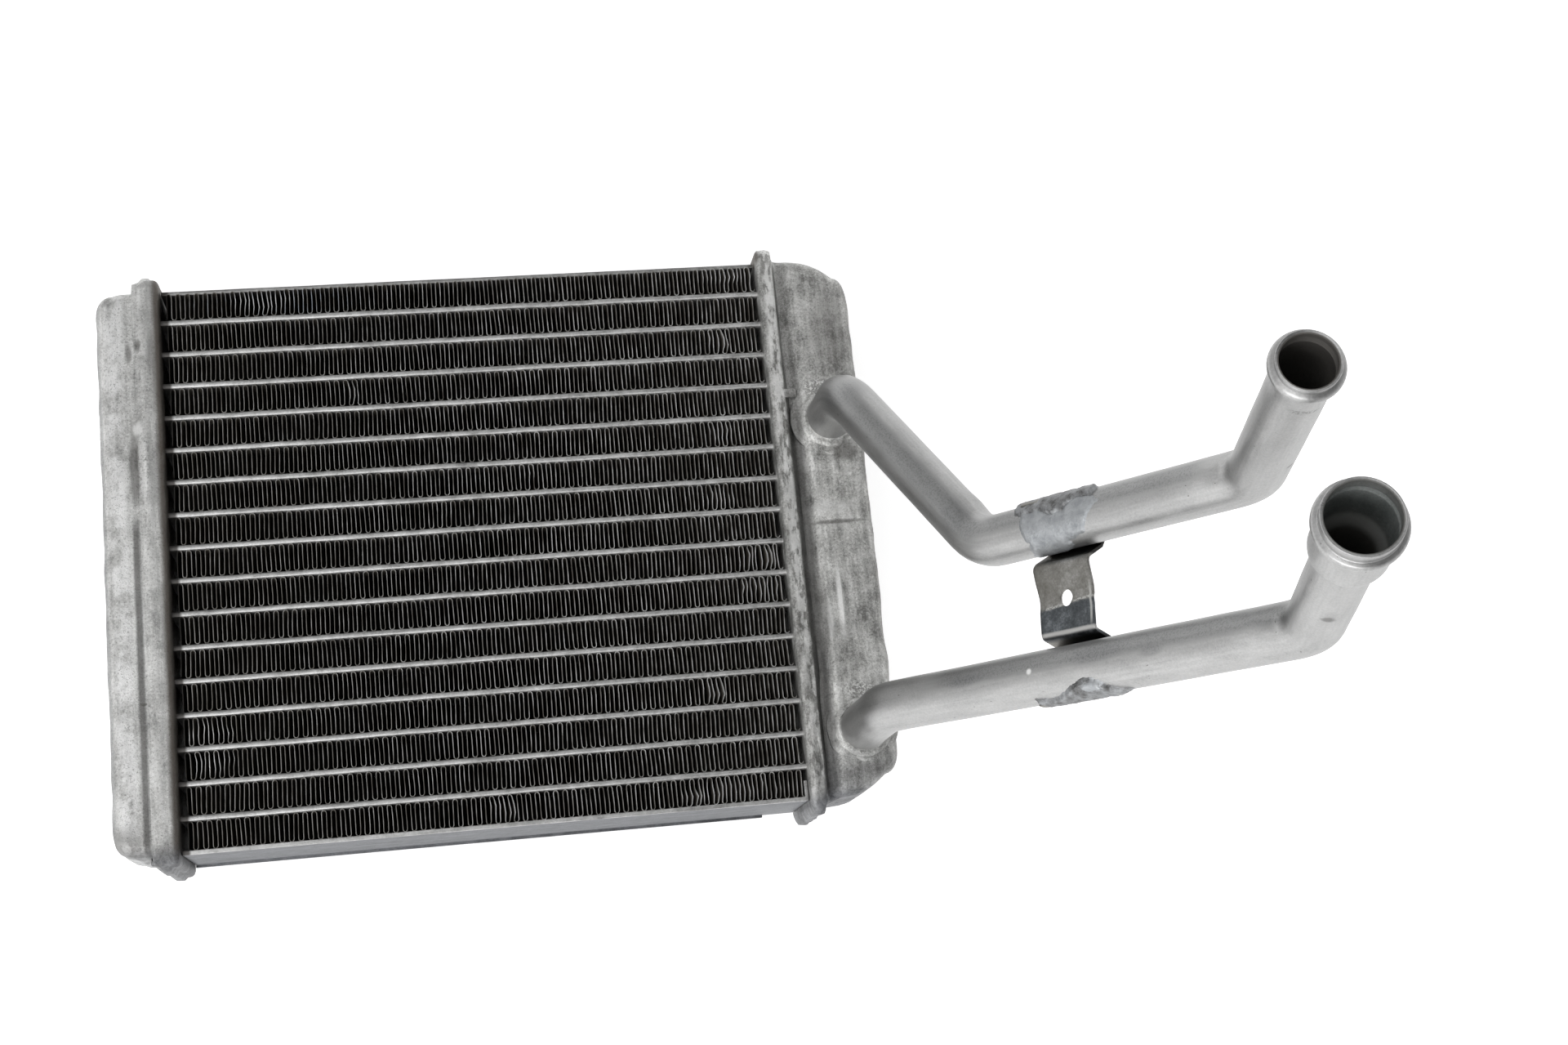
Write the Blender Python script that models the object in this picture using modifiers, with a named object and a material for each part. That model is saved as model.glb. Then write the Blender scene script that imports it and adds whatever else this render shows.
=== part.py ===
"""Brazed aluminium heater core with two bent hose pipes, lying on its back.

All sizes are in metres. In the model's working frame X runs along the flat tubes from the left
header plate, Y runs up the header plates from the bottom side plate, and Z rises from the core's
front face. The finished assembly hangs on one empty, whose place puts the origin at the middle
of the footprint, on the surface that the header plates rest on.
"""
import math

import bmesh
import bpy
from mathutils import Matrix, Vector

MM = 0.001

# Clearance between brazed neighbours
SEAT_GAP = 0.3 * MM

# Core of flat tubes and corrugated fins
TUBE_COUNT = 16
TUBE_PITCH = 11.15 * MM
TUBE_THICKNESS = 1.9 * MM
TUBE_WALL = 0.4 * MM
CORE_WIDTH = 204.0 * MM
CORE_DEPTH = 38.0 * MM
TUBE_STICK_THROUGH = 2.4 * MM
FIN_CREST_SPACING = 4.2 * MM
FIN_CREST_THICKNESS = 0.9 * MM
FIN_SETBACK = 0.5 * MM
FIN_END_CLEARANCE = 2.4 * MM

# Side plates above and below the core
SIDE_PLATE_THICKNESS = 1.4 * MM
TOP_PLATE_SETBACK = 1.8 * MM
BACK_LIP_HEIGHT = 0.9 * MM
BACK_LIP_THICKNESS = 1.2 * MM
BACK_LIP_END_CLEARANCE = 11.0 * MM
END_TAB_HEIGHT = 5.4 * MM
END_TAB_THICKNESS = 1.1 * MM

# Header plates: shallow pressed trays
HEADER_WALL = 1.6 * MM
HEADER_FRONT_REACH = 4.0 * MM
HEADER_END_REACH = 5.0 * MM
HEADER_CORNER_RADIUS = 4.0 * MM
HEADER_EDGE_RADIUS = 1.2 * MM
LEFT_RIM_HEIGHT = 8.6 * MM
RIGHT_RIM_HEIGHT = 5.0 * MM
END_LUG_REACH = 1.4 * MM
END_LUG_ROUNDING = 0.9 * MM
LEFT_LUG_START = 3.0 * MM
LEFT_LUG_WIDTH = 4.2 * MM
RIGHT_LUG_START = 0.6 * MM
RIGHT_LUG_WIDTH = 4.2 * MM
CLINCH_TAB_WIDTH = 4.0 * MM
CLINCH_TAB_LENGTH = 9.2 * MM
CLINCH_TAB_THICKNESS = 1.2 * MM
CLINCH_TAB_HEIGHT = 139.4 * MM

# Tanks: pressed shells that seat in the trays
TANK_WALL = 1.5 * MM
TANK_FRONT_REACH = 2.8 * MM
TANK_CORNER_RADIUS = 5.0 * MM
LEFT_TANK_DEPTH = 21.2 * MM
LEFT_TANK_NECK_RUN = 3.2 * MM
LEFT_TANK_NECK_DEPTH = 1.3 * MM
LEFT_TANK_END_REACH = 1.2 * MM
LEFT_TANK_SHOULDER_REACH = 14.0 * MM
LEFT_TANK_SHOULDER_DROP = 2.2 * MM
LEFT_TANK_EDGE_RADIUS = 5.0 * MM
RIGHT_TANK_DEPTH = 32.0 * MM
RIGHT_TANK_NECK_RUN = 8.6 * MM
RIGHT_TANK_NECK_DEPTH = 1.8 * MM
RIGHT_TANK_END_REACH = 1.4 * MM
RIGHT_TANK_SHOULDER_REACH = 15.5 * MM
RIGHT_TANK_SHOULDER_DROP = 5.2 * MM
RIGHT_TANK_EDGE_RADIUS = 5.0 * MM
BAFFLE_THICKNESS = 1.5 * MM
BAFFLE_HEIGHT = 93.2 * MM
BAFFLE_CREASE_WIDTH = 1.2 * MM
BAFFLE_CREASE_DEPTH = 0.5 * MM

# Pipes: one outer diameter, with a beaded hose nipple at the end of each
PIPE_DIAMETER = 16.0 * MM
PIPE_WALL = 1.0 * MM
PIPE_SIDES_STEP = 6
PORT_REACH = 20.1 * MM
PORT_COLLAR_RADIUS = 11.2 * MM
PORT_COLLAR_TOP_RADIUS = 9.7 * MM
PORT_COLLAR_HEIGHT = 2.2 * MM
PIPE_INSERTION = 4.5 * MM
UPPER_PORT_HEIGHT = 129.6 * MM
LOWER_PORT_HEIGHT = 21.3 * MM
UPPER_RISER = 32.5 * MM
LOWER_RISER = 45.9 * MM
DOG_LEG_LENGTH = 87.0 * MM
DOG_LEG_AZIMUTH = math.radians(-66.3)
DOG_LEG_RISE = math.radians(34.9)
RUN_AZIMUTH = math.radians(-4.0)
RUN_RISE = math.radians(56.3)
UPPER_RUN_LENGTH = 101.4 * MM
LOWER_RUN_LENGTH = 160.9 * MM
NIPPLE_AZIMUTH = math.radians(144.8)
UPPER_NIPPLE_RISE = math.radians(78.4)
LOWER_NIPPLE_RISE = math.radians(75.3)
UPPER_NIPPLE_LENGTH = 77.9 * MM
LOWER_NIPPLE_LENGTH = 81.1 * MM
ROOT_BEND_RADIUS = 17.0 * MM
BEND_RADIUS = 17.0 * MM
NIPPLE_BEND_RADIUS = 17.0 * MM
BEND_STEP = math.radians(11.0)

# End forms of the nipples
UPPER_LIP_DIAMETER = 16.6 * MM
UPPER_BEAD_DIAMETER = 19.4 * MM
UPPER_BEAD_SETBACK = 3.4 * MM
LOWER_CUP_DIAMETER = 20.2 * MM
LOWER_CUP_LENGTH = 20.0 * MM
LOWER_CUP_TAPER = 6.0 * MM
LOWER_BEAD_DIAMETER = 23.2 * MM
LOWER_BEAD_SETBACK = 5.2 * MM
BEAD_WIDTH = 3.0 * MM

# Bracket: one folded strap that wraps both pipes from behind
STRAP_THICKNESS = 1.0 * MM
STRAP_WIDTH = 20.4 * MM
STRAP_STATION = 31.7 * MM
STRAP_HOLE_DIAMETER = 5.0 * MM
STRAP_FOLD_ROUNDING = 1.2 * MM
WEB_TOP_OFFSET = 1.2 * MM
WEB_BOTTOM_OFFSET = -0.6 * MM
UPPER_WRAP_END = math.radians(45.0)
LOWER_WRAP_END = math.radians(75.0)
SHELF_BACK_ANGLE = math.radians(235.0)
# Clear of the pipe, as shares of the free gap between the two pipes
STRAP_FOLD_SHARE = 0.13
UPPER_SHELF_SHARE = 0.032
LOWER_SHELF_SHARE = 0.128
WRAP_STEPS = 11
FOLD_STEPS = 3

# What follows from the sizes above
FIN_GAP = TUBE_PITCH - TUBE_THICKNESS
CORE_HEIGHT = TUBE_COUNT * TUBE_PITCH + FIN_GAP
HEADER_HALF_HEIGHT = CORE_HEIGHT / 2 + HEADER_END_REACH
HEADER_HALF_DEPTH = CORE_DEPTH / 2 + HEADER_FRONT_REACH
TANK_HALF_DEPTH = CORE_DEPTH / 2 + TANK_FRONT_REACH
MIDDLE_Y = CORE_HEIGHT / 2
MIDDLE_Z = -CORE_DEPTH / 2
TANK_FRONT = MIDDLE_Z + TANK_HALF_DEPTH
PORT_X = CORE_WIDTH + PORT_REACH
PIPE_RADIUS = PIPE_DIAMETER / 2

COLOURS = {
    "tube_aluminium": ((0.72, 0.73, 0.74), 0.35, 0.9),
    "fin_aluminium": ((0.30, 0.29, 0.28), 0.55, 0.8),
    "tank_aluminium": ((0.60, 0.60, 0.59), 0.55, 0.8),
    "pipe_aluminium": ((0.74, 0.74, 0.73), 0.38, 0.9),
    "bracket_aluminium": ((0.48, 0.48, 0.47), 0.40, 0.9),
}


def clear_scene():
    for thing in list(bpy.data.objects):
        bpy.data.objects.remove(thing, do_unlink=True)


def make_collection(name):
    collection = bpy.data.collections.new(name)
    bpy.context.scene.collection.children.link(collection)
    return collection


def make_material(owner, kind):
    colour, roughness, metallic = COLOURS[kind]
    material = bpy.data.materials.new(owner + "_" + kind)
    material.use_nodes = True
    shader = material.node_tree.nodes["Principled BSDF"]
    shader.inputs["Base Color"].default_value = (*colour, 1.0)
    shader.inputs["Roughness"].default_value = roughness
    shader.inputs["Metallic"].default_value = metallic
    return material


def add_object(name, mesh, collection, kind=None, parent=None):
    thing = bpy.data.objects.new(name, mesh)
    collection.objects.link(thing)
    if kind is not None:
        mesh.materials.clear()
        mesh.materials.append(make_material(name, kind))
    if parent is not None:
        thing.parent = parent
    return thing


def mesh_from(bm, name):
    mesh = bpy.data.meshes.new(name)
    bm.to_mesh(mesh)
    bm.free()
    return mesh


def add_cutter(name, mesh, collection, parent):
    cutter = add_object(name, mesh, collection, parent=parent)
    cutter.hide_render = True
    cutter.display_type = 'WIRE'
    return cutter


def combine(thing, other, operation):
    modifier = thing.modifiers.new(operation.title() + " " + other.name, 'BOOLEAN')
    modifier.operation = operation
    modifier.solver = 'EXACT'
    modifier.object = other
    return modifier


def add_solidify(thing, thickness, offset, even=True):
    modifier = thing.modifiers.new("Wall", 'SOLIDIFY')
    modifier.thickness = thickness
    modifier.offset = offset
    modifier.use_even_offset = even
    return modifier


def shade(mesh, angle=math.radians(35)):
    mesh.shade_smooth()
    mesh.set_sharp_from_angle(angle=angle)


def box_mesh(name, low, high):
    bm = bmesh.new()
    bmesh.ops.create_cube(bm, size=1.0)
    size = Vector(high) - Vector(low)
    centre = (Vector(high) + Vector(low)) / 2
    bmesh.ops.scale(bm, vec=size, verts=bm.verts)
    bmesh.ops.translate(bm, vec=centre, verts=bm.verts)
    return mesh_from(bm, name)


def rounded_rectangle(half_y, half_z, radius, steps=4):
    """Corner points of a rounded rectangle about the middle of the core's end, one turn round."""
    points = []
    corners = ((1, 1, 0.0), (-1, 1, 0.5), (-1, -1, 1.0), (1, -1, 1.5))
    for side_y, side_z, start in corners:
        centre_y = side_y * (half_y - radius)
        centre_z = side_z * (half_z - radius)
        for step in range(steps + 1):
            angle = math.pi * (start + 0.5 * step / steps)
            points.append((MIDDLE_Y + centre_y + radius * math.cos(angle),
                           MIDDLE_Z + centre_z + radius * math.sin(angle)))
    return points


def lug_mesh(name, low, high, end):
    """Block whose outer face, towards the given end of the core, has rounded edges."""
    bm = bmesh.new()
    bmesh.ops.create_cube(bm, size=1.0)
    bmesh.ops.scale(bm, vec=Vector(high) - Vector(low), verts=bm.verts)
    middle = (Vector(high) + Vector(low)) / 2
    bmesh.ops.translate(bm, vec=middle, verts=bm.verts)
    outer = [edge for edge in bm.edges
             if all(end * (vert.co.y - middle.y) > 0 for vert in edge.verts)]
    bmesh.ops.bevel(bm, geom=outer, offset=END_LUG_ROUNDING, segments=2, profile=0.5,
                    affect='EDGES')
    return mesh_from(bm, name)


def loft(name, sections, place_x):
    """Closed solid through rounded rectangles; each section is (reach, half_y, half_z, radius)."""
    bm = bmesh.new()
    rings = []
    for reach, half_y, half_z, radius in sections:
        outline = rounded_rectangle(half_y, half_z, radius)
        rings.append([bm.verts.new((place_x(reach), y, z)) for y, z in outline])
    for ring, following in zip(rings, rings[1:]):
        count = len(ring)
        for index in range(count):
            after = (index + 1) % count
            bm.faces.new((ring[index], ring[after], following[after], following[index]))
    bm.faces.new(rings[0])
    bm.faces.new(rings[-1])
    bmesh.ops.recalc_face_normals(bm, faces=bm.faces)
    return mesh_from(bm, name)


def left_side(reach):
    return -reach


def right_side(reach):
    return CORE_WIDTH + reach


def header_sections(rim_height):
    """Outside of a pressed tray, from its core face to the edge of its rim."""
    sections = []
    for step in range(3):
        angle = math.radians(90) * step / 2
        inset = HEADER_EDGE_RADIUS * (1 - math.sin(angle))
        reach = HEADER_EDGE_RADIUS * (1 - math.cos(angle))
        sections.append((reach, HEADER_HALF_HEIGHT - inset, HEADER_HALF_DEPTH - inset,
                         HEADER_CORNER_RADIUS - inset))
    sections.append((rim_height, HEADER_HALF_HEIGHT, HEADER_HALF_DEPTH, HEADER_CORNER_RADIUS))
    return sections


def header_cavity_sections(rim_height):
    inner = (HEADER_HALF_HEIGHT - HEADER_WALL, HEADER_HALF_DEPTH - HEADER_WALL,
             HEADER_CORNER_RADIUS - HEADER_WALL)
    return [(HEADER_WALL, *inner), (rim_height + HEADER_WALL, *inner)]


def tube_height(index):
    """Centre height of a flat tube, counted from the bottom of the core."""
    return FIN_GAP + TUBE_THICKNESS / 2 + index * TUBE_PITCH


def obround(bm, centre_y, depth, thickness, x_low, steps=4):
    """Ring of points with round noses at the front and back of a flat tube."""
    radius = thickness / 2
    points = []
    for side, start in ((1, 0.0), (-1, math.pi)):
        nose = MIDDLE_Z + side * (depth / 2 - radius)
        for step in range(steps + 1):
            angle = start + math.pi * step / steps
            points.append((centre_y + radius * math.cos(angle), nose + radius * math.sin(angle)))
    return [bm.verts.new((x_low, y, z)) for y, z in points]


def tube_slots_mesh():
    """One closed obround bar for each tube, long enough to pass both header plates."""
    margin = HEADER_WALL + SEAT_GAP
    bm = bmesh.new()
    for index in range(TUBE_COUNT):
        ring = obround(bm, tube_height(index), CORE_DEPTH + 2 * SEAT_GAP,
                       TUBE_THICKNESS + 2 * SEAT_GAP, -margin, steps=3)
        face = bm.faces.new(ring)
        grown = bmesh.ops.extrude_face_region(bm, geom=[face])
        moved = [item for item in grown["geom"] if isinstance(item, bmesh.types.BMVert)]
        bmesh.ops.translate(bm, vec=(CORE_WIDTH + 2 * margin, 0, 0), verts=moved)
    bmesh.ops.recalc_face_normals(bm, faces=bm.faces)
    return mesh_from(bm, "tube_slots")


def make_header(name, rim_height, lug_start, lug_width, place_x, slots, parts, cutters, root):
    """Pressed tray with a slot for each tube and a lug that stands past each end."""
    header = add_object(name, loft(name, header_sections(rim_height), place_x), parts,
                        "tank_aluminium", root)
    cavity_mesh = loft(name + "_cavity", header_cavity_sections(rim_height), place_x)
    cavity = add_cutter(name + "_cavity", cavity_mesh, cutters, root)
    for end in (-1, 1):
        lug_name = name + ("_top_lug" if end > 0 else "_bottom_lug")
        edge = MIDDLE_Y + end * (HEADER_HALF_HEIGHT + END_LUG_REACH)
        base = MIDDLE_Y + end * (HEADER_HALF_HEIGHT - HEADER_WALL / 2)
        half_depth = HEADER_HALF_DEPTH - 1.2 * HEADER_CORNER_RADIUS
        start = place_x(lug_start)
        finish = place_x(lug_start + lug_width)
        low = (min(start, finish), min(edge, base), MIDDLE_Z - half_depth)
        high = (max(start, finish), max(edge, base), MIDDLE_Z + half_depth)
        lug = add_cutter(lug_name, lug_mesh(lug_name, low, high, end), cutters, root)
        combine(header, lug, 'UNION')
    combine(header, cavity, 'DIFFERENCE')
    combine(header, slots, 'DIFFERENCE')
    return header


def add_clinch_tab(header, cutters, root):
    """Small tongue of the right header plate, folded over the edge of its tank."""
    top = MIDDLE_Z + HEADER_HALF_DEPTH
    low = (CORE_WIDTH + RIGHT_RIM_HEIGHT / 2, CLINCH_TAB_HEIGHT - CLINCH_TAB_WIDTH / 2,
           top - CLINCH_TAB_THICKNESS)
    high = (CORE_WIDTH + CLINCH_TAB_LENGTH, CLINCH_TAB_HEIGHT + CLINCH_TAB_WIDTH / 2,
            top - HEADER_WALL / 8)
    tab = add_cutter("clinch_tab", box_mesh("clinch_tab", low, high), cutters, root)
    combine(header, tab, 'UNION')


def tank_sections(form, wall=0.0):
    """Sections of a tank from its skirt inside the tray to its cap; wall moves them inwards."""
    skirt_y = HEADER_HALF_HEIGHT - HEADER_WALL - SEAT_GAP - wall
    skirt_z = HEADER_HALF_DEPTH - HEADER_WALL - SEAT_GAP - wall
    body_y = CORE_HEIGHT / 2 + form["end_reach"] - wall
    body_z = TANK_HALF_DEPTH - wall
    corner = TANK_CORNER_RADIUS - wall
    skirt_corner = HEADER_CORNER_RADIUS - HEADER_WALL - SEAT_GAP
    skirt_corner = max(skirt_corner - wall, skirt_corner / 3)
    start = HEADER_WALL + SEAT_GAP if wall == 0.0 else HEADER_WALL / 2
    rim = form["rim_height"]
    neck_run = form["neck_run"]
    neck_y = (skirt_y + body_y) / 2
    neck_z = skirt_z - form["neck_depth"]
    sections = [(start, skirt_y, skirt_z, skirt_corner),
                (rim, skirt_y, skirt_z, skirt_corner),
                (rim + neck_run * 0.4, neck_y, neck_z, corner),
                (rim + neck_run * 0.7, body_y + (neck_y - body_y) / 4, neck_z, corner),
                (rim + neck_run, body_y, body_z, corner),
                (form["shoulder_reach"], body_y, body_z, corner)]
    edge_radius = form["edge_radius"] - wall
    cap = form["depth"] - wall
    for angle in (0, 30, 60, 90):
        turn = math.radians(angle)
        inset = edge_radius * (1 - math.cos(turn))
        reach = cap - edge_radius * (1 - math.sin(turn))
        sections.append((reach, body_y - form["shoulder_drop"] - inset, body_z - inset, corner))
    return sections


LEFT_TANK_FORM = {"rim_height": LEFT_RIM_HEIGHT, "depth": LEFT_TANK_DEPTH,
                  "neck_run": LEFT_TANK_NECK_RUN, "neck_depth": LEFT_TANK_NECK_DEPTH,
                  "end_reach": LEFT_TANK_END_REACH, "shoulder_reach": LEFT_TANK_SHOULDER_REACH,
                  "shoulder_drop": LEFT_TANK_SHOULDER_DROP, "edge_radius": LEFT_TANK_EDGE_RADIUS}
RIGHT_TANK_FORM = {"rim_height": RIGHT_RIM_HEIGHT, "depth": RIGHT_TANK_DEPTH,
                   "neck_run": RIGHT_TANK_NECK_RUN, "neck_depth": RIGHT_TANK_NECK_DEPTH,
                   "end_reach": RIGHT_TANK_END_REACH, "shoulder_reach": RIGHT_TANK_SHOULDER_REACH,
                   "shoulder_drop": RIGHT_TANK_SHOULDER_DROP, "edge_radius": RIGHT_TANK_EDGE_RADIUS}


def make_tank(name, form, place_x, parts, cutters, root):
    tank = add_object(name, loft(name, tank_sections(form), place_x), parts,
                      "tank_aluminium", root)
    cavity_mesh = loft(name + "_cavity", tank_sections(form, wall=TANK_WALL), place_x)
    cavity = add_cutter(name + "_cavity", cavity_mesh, cutters, root)
    return tank, cavity


def add_ports(tank, cutters, root):
    """Raised collar round each pipe, joined to the tank before it is hollowed."""
    for name, height in (("upper_port", UPPER_PORT_HEIGHT), ("lower_port", LOWER_PORT_HEIGHT)):
        low = TANK_FRONT - RIGHT_TANK_EDGE_RADIUS
        top = TANK_FRONT + PORT_COLLAR_HEIGHT
        bm = bmesh.new()
        bmesh.ops.create_cone(bm, cap_ends=True, segments=24, radius1=PORT_COLLAR_RADIUS,
                              radius2=PORT_COLLAR_TOP_RADIUS, depth=top - low)
        bmesh.ops.translate(bm, vec=(PORT_X, height, (top + low) / 2), verts=bm.verts)
        collar = add_cutter(name + "_collar", mesh_from(bm, name + "_collar"), cutters, root)
        combine(tank, collar, 'UNION')


def bore_ports(tank, cutters, root):
    for name, height in (("upper_port", UPPER_PORT_HEIGHT), ("lower_port", LOWER_PORT_HEIGHT)):
        low = TANK_FRONT - 2 * TANK_WALL
        top = TANK_FRONT + 2 * PORT_COLLAR_HEIGHT
        bm = bmesh.new()
        bmesh.ops.create_cone(bm, cap_ends=True, segments=24, radius1=PIPE_RADIUS + SEAT_GAP,
                              radius2=PIPE_RADIUS + SEAT_GAP, depth=top - low)
        bmesh.ops.translate(bm, vec=(PORT_X, height, (top + low) / 2), verts=bm.verts)
        bore = add_cutter(name + "_bore", mesh_from(bm, name + "_bore"), cutters, root)
        combine(tank, bore, 'DIFFERENCE')


def score_crease(tank, cutters, root):
    """Shallow groove across the tank's front, where the sheet is pressed onto the baffle."""
    flat_start = RIGHT_RIM_HEIGHT + RIGHT_TANK_NECK_RUN
    flat_end = RIGHT_TANK_DEPTH - RIGHT_TANK_EDGE_RADIUS
    bm = bmesh.new()
    bmesh.ops.create_cone(bm, cap_ends=True, segments=4, radius1=BAFFLE_CREASE_WIDTH / 2,
                          radius2=BAFFLE_CREASE_WIDTH / 2, depth=flat_end - flat_start)
    shape = Matrix.Diagonal((BAFFLE_CREASE_DEPTH / (BAFFLE_CREASE_WIDTH / 2), 1, 1, 1))
    turn = Matrix.Rotation(math.radians(90), 4, 'Y')
    place = Matrix.Translation((right_side((flat_start + flat_end) / 2), BAFFLE_HEIGHT, TANK_FRONT))
    bmesh.ops.transform(bm, matrix=place @ turn @ shape, verts=bm.verts)
    crease = add_cutter("baffle_crease", mesh_from(bm, "baffle_crease"), cutters, root)
    combine(tank, crease, 'DIFFERENCE')


def make_baffle(parts, root):
    """Plate that parts the inlet half of the right tank from the outlet half."""
    sections = tank_sections(RIGHT_TANK_FORM, wall=TANK_WALL + SEAT_GAP)
    start = HEADER_WALL + TUBE_STICK_THROUGH + SEAT_GAP
    edge = [(start, min(section[2] for section in sections[:5]))]
    edge += [(section[0], section[2]) for section in sections[2:] if section[0] > start]
    bm = bmesh.new()
    low_y = BAFFLE_HEIGHT - BAFFLE_THICKNESS / 2
    front = [bm.verts.new((right_side(reach), low_y, MIDDLE_Z + half)) for reach, half in edge]
    back = [bm.verts.new((right_side(reach), low_y, MIDDLE_Z - half)) for reach, half in edge]
    face = bm.faces.new(front + back[::-1])
    grown = bmesh.ops.extrude_face_region(bm, geom=[face])
    moved = [item for item in grown["geom"] if isinstance(item, bmesh.types.BMVert)]
    bmesh.ops.translate(bm, vec=(0, BAFFLE_THICKNESS, 0), verts=moved)
    bmesh.ops.recalc_face_normals(bm, faces=bm.faces)
    return add_object("tank_baffle", mesh_from(bm, "tank_baffle"), parts, "tank_aluminium", root)


def tube_mesh():
    """Open skin of one flat tube at the bottom of the core; its wall comes from Solidify."""
    reach = HEADER_WALL + TUBE_STICK_THROUGH
    bm = bmesh.new()
    ring = obround(bm, 0.0, CORE_DEPTH, TUBE_THICKNESS, -reach)
    edges = [bm.edges.new((ring[index - 1], ring[index])) for index in range(len(ring))]
    grown = bmesh.ops.extrude_edge_only(bm, edges=edges)
    moved = [item for item in grown["geom"] if isinstance(item, bmesh.types.BMVert)]
    bmesh.ops.translate(bm, vec=(CORE_WIDTH + 2 * reach, 0, 0), verts=moved)
    bmesh.ops.recalc_face_normals(bm, faces=bm.faces)
    mesh = mesh_from(bm, "flat_tube")
    shade(mesh)
    return mesh


def make_tubes(parts, root):
    mesh = tube_mesh()
    mesh.materials.append(make_material("flat_tube", "tube_aluminium"))
    for index in range(TUBE_COUNT):
        tube = add_object("flat_tube_{:02d}".format(index + 1), mesh, parts, parent=root)
        tube.location.y = tube_height(index)
        add_solidify(tube, TUBE_WALL, -1.0)


def fin_mesh():
    """Zigzag strip, one row high, that Solidify turns into a corrugated fin."""
    amplitude = FIN_GAP / 2 - SEAT_GAP - FIN_CREST_THICKNESS / 2
    length = CORE_WIDTH - 2 * FIN_END_CLEARANCE
    folds = round(length / FIN_CREST_SPACING)
    depth = CORE_DEPTH - 2 * FIN_SETBACK
    bm = bmesh.new()
    crests = []
    for index in range(folds + 1):
        x = FIN_END_CLEARANCE + length * index / folds
        y = amplitude if index % 2 == 0 else -amplitude
        crests.append(bm.verts.new((x, y, MIDDLE_Z - depth / 2)))
    edges = [bm.edges.new(pair) for pair in zip(crests, crests[1:])]
    grown = bmesh.ops.extrude_edge_only(bm, edges=edges)
    moved = [item for item in grown["geom"] if isinstance(item, bmesh.types.BMVert)]
    bmesh.ops.translate(bm, vec=(0, 0, depth), verts=moved)
    bmesh.ops.recalc_face_normals(bm, faces=bm.faces)
    return mesh_from(bm, "fin_row")


def make_fins(parts, root):
    mesh = fin_mesh()
    mesh.materials.append(make_material("fin_row", "fin_aluminium"))
    for index in range(TUBE_COUNT + 1):
        fin = add_object("fin_row_{:02d}".format(index + 1), mesh, parts, parent=root)
        fin.location.y = FIN_GAP / 2 + index * TUBE_PITCH
        add_solidify(fin, FIN_CREST_THICKNESS, 0.0, even=False)


def make_side_plates(parts, cutters, root):
    """Plates that close the core; the bottom one has an end tab and a lip along its back edge."""
    x_low = SEAT_GAP
    x_high = CORE_WIDTH - SEAT_GAP
    front = MIDDLE_Z + CORE_DEPTH / 2
    back = MIDDLE_Z - CORE_DEPTH / 2
    top = box_mesh("top_side_plate", (x_low, CORE_HEIGHT, back),
                   (x_high, CORE_HEIGHT + SIDE_PLATE_THICKNESS, front - TOP_PLATE_SETBACK))
    add_object("top_side_plate", top, parts, "tube_aluminium", root)
    bottom = box_mesh("bottom_side_plate", (x_low, -SIDE_PLATE_THICKNESS, back),
                      (x_high, 0.0, front))
    plate = add_object("bottom_side_plate", bottom, parts, "tube_aluminium", root)
    middle = -SIDE_PLATE_THICKNESS / 2
    tab_mesh = box_mesh("end_tab", (x_high - END_TAB_THICKNESS, middle, back),
                        (x_high, END_TAB_HEIGHT, front))
    combine(plate, add_cutter("end_tab", tab_mesh, cutters, root), 'UNION')
    lip_mesh = box_mesh("back_lip", (x_low, -SIDE_PLATE_THICKNESS - BACK_LIP_HEIGHT, back),
                        (x_high - BACK_LIP_END_CLEARANCE, middle, back + BACK_LIP_THICKNESS))
    combine(plate, add_cutter("back_lip", lip_mesh, cutters, root), 'UNION')


def direction(azimuth, rise):
    return Vector((math.cos(rise) * math.cos(azimuth), math.cos(rise) * math.sin(azimuth),
                   math.sin(rise)))


RUN_DIRECTION = direction(RUN_AZIMUTH, RUN_RISE)


def upper_route():
    root = Vector((PORT_X, UPPER_PORT_HEIGHT, 0.0))
    elbow = root + Vector((0, 0, UPPER_RISER))
    knee = elbow + DOG_LEG_LENGTH * direction(DOG_LEG_AZIMUTH, DOG_LEG_RISE)
    bend = knee + UPPER_RUN_LENGTH * RUN_DIRECTION
    mouth = bend + UPPER_NIPPLE_LENGTH * direction(NIPPLE_AZIMUTH, UPPER_NIPPLE_RISE)
    return [root, elbow, knee, bend, mouth]


def lower_route():
    root = Vector((PORT_X, LOWER_PORT_HEIGHT, 0.0))
    elbow = root + Vector((0, 0, LOWER_RISER))
    bend = elbow + LOWER_RUN_LENGTH * RUN_DIRECTION
    mouth = bend + LOWER_NIPPLE_LENGTH * direction(NIPPLE_AZIMUTH, LOWER_NIPPLE_RISE)
    return [root, elbow, bend, mouth]


def rounded_path(corners, radii):
    """Points along straight legs joined by arcs, one radius for each inner corner."""
    points = [corners[0]]
    for before, corner, after, radius in zip(corners, corners[1:], corners[2:], radii):
        incoming = (corner - before).normalized()
        outgoing = (after - corner).normalized()
        turn = incoming.angle(outgoing)
        tangent = radius * math.tan(turn / 2)
        start = corner - incoming * tangent
        axis = incoming.cross(outgoing).normalized()
        centre = start + axis.cross(incoming) * radius
        steps = max(2, round(turn / BEND_STEP))
        for step in range(steps + 1):
            spin = Matrix.Rotation(turn * step / steps, 3, axis)
            points.append(centre + spin @ (start - centre))
    points.append(corners[-1])
    return points


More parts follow.
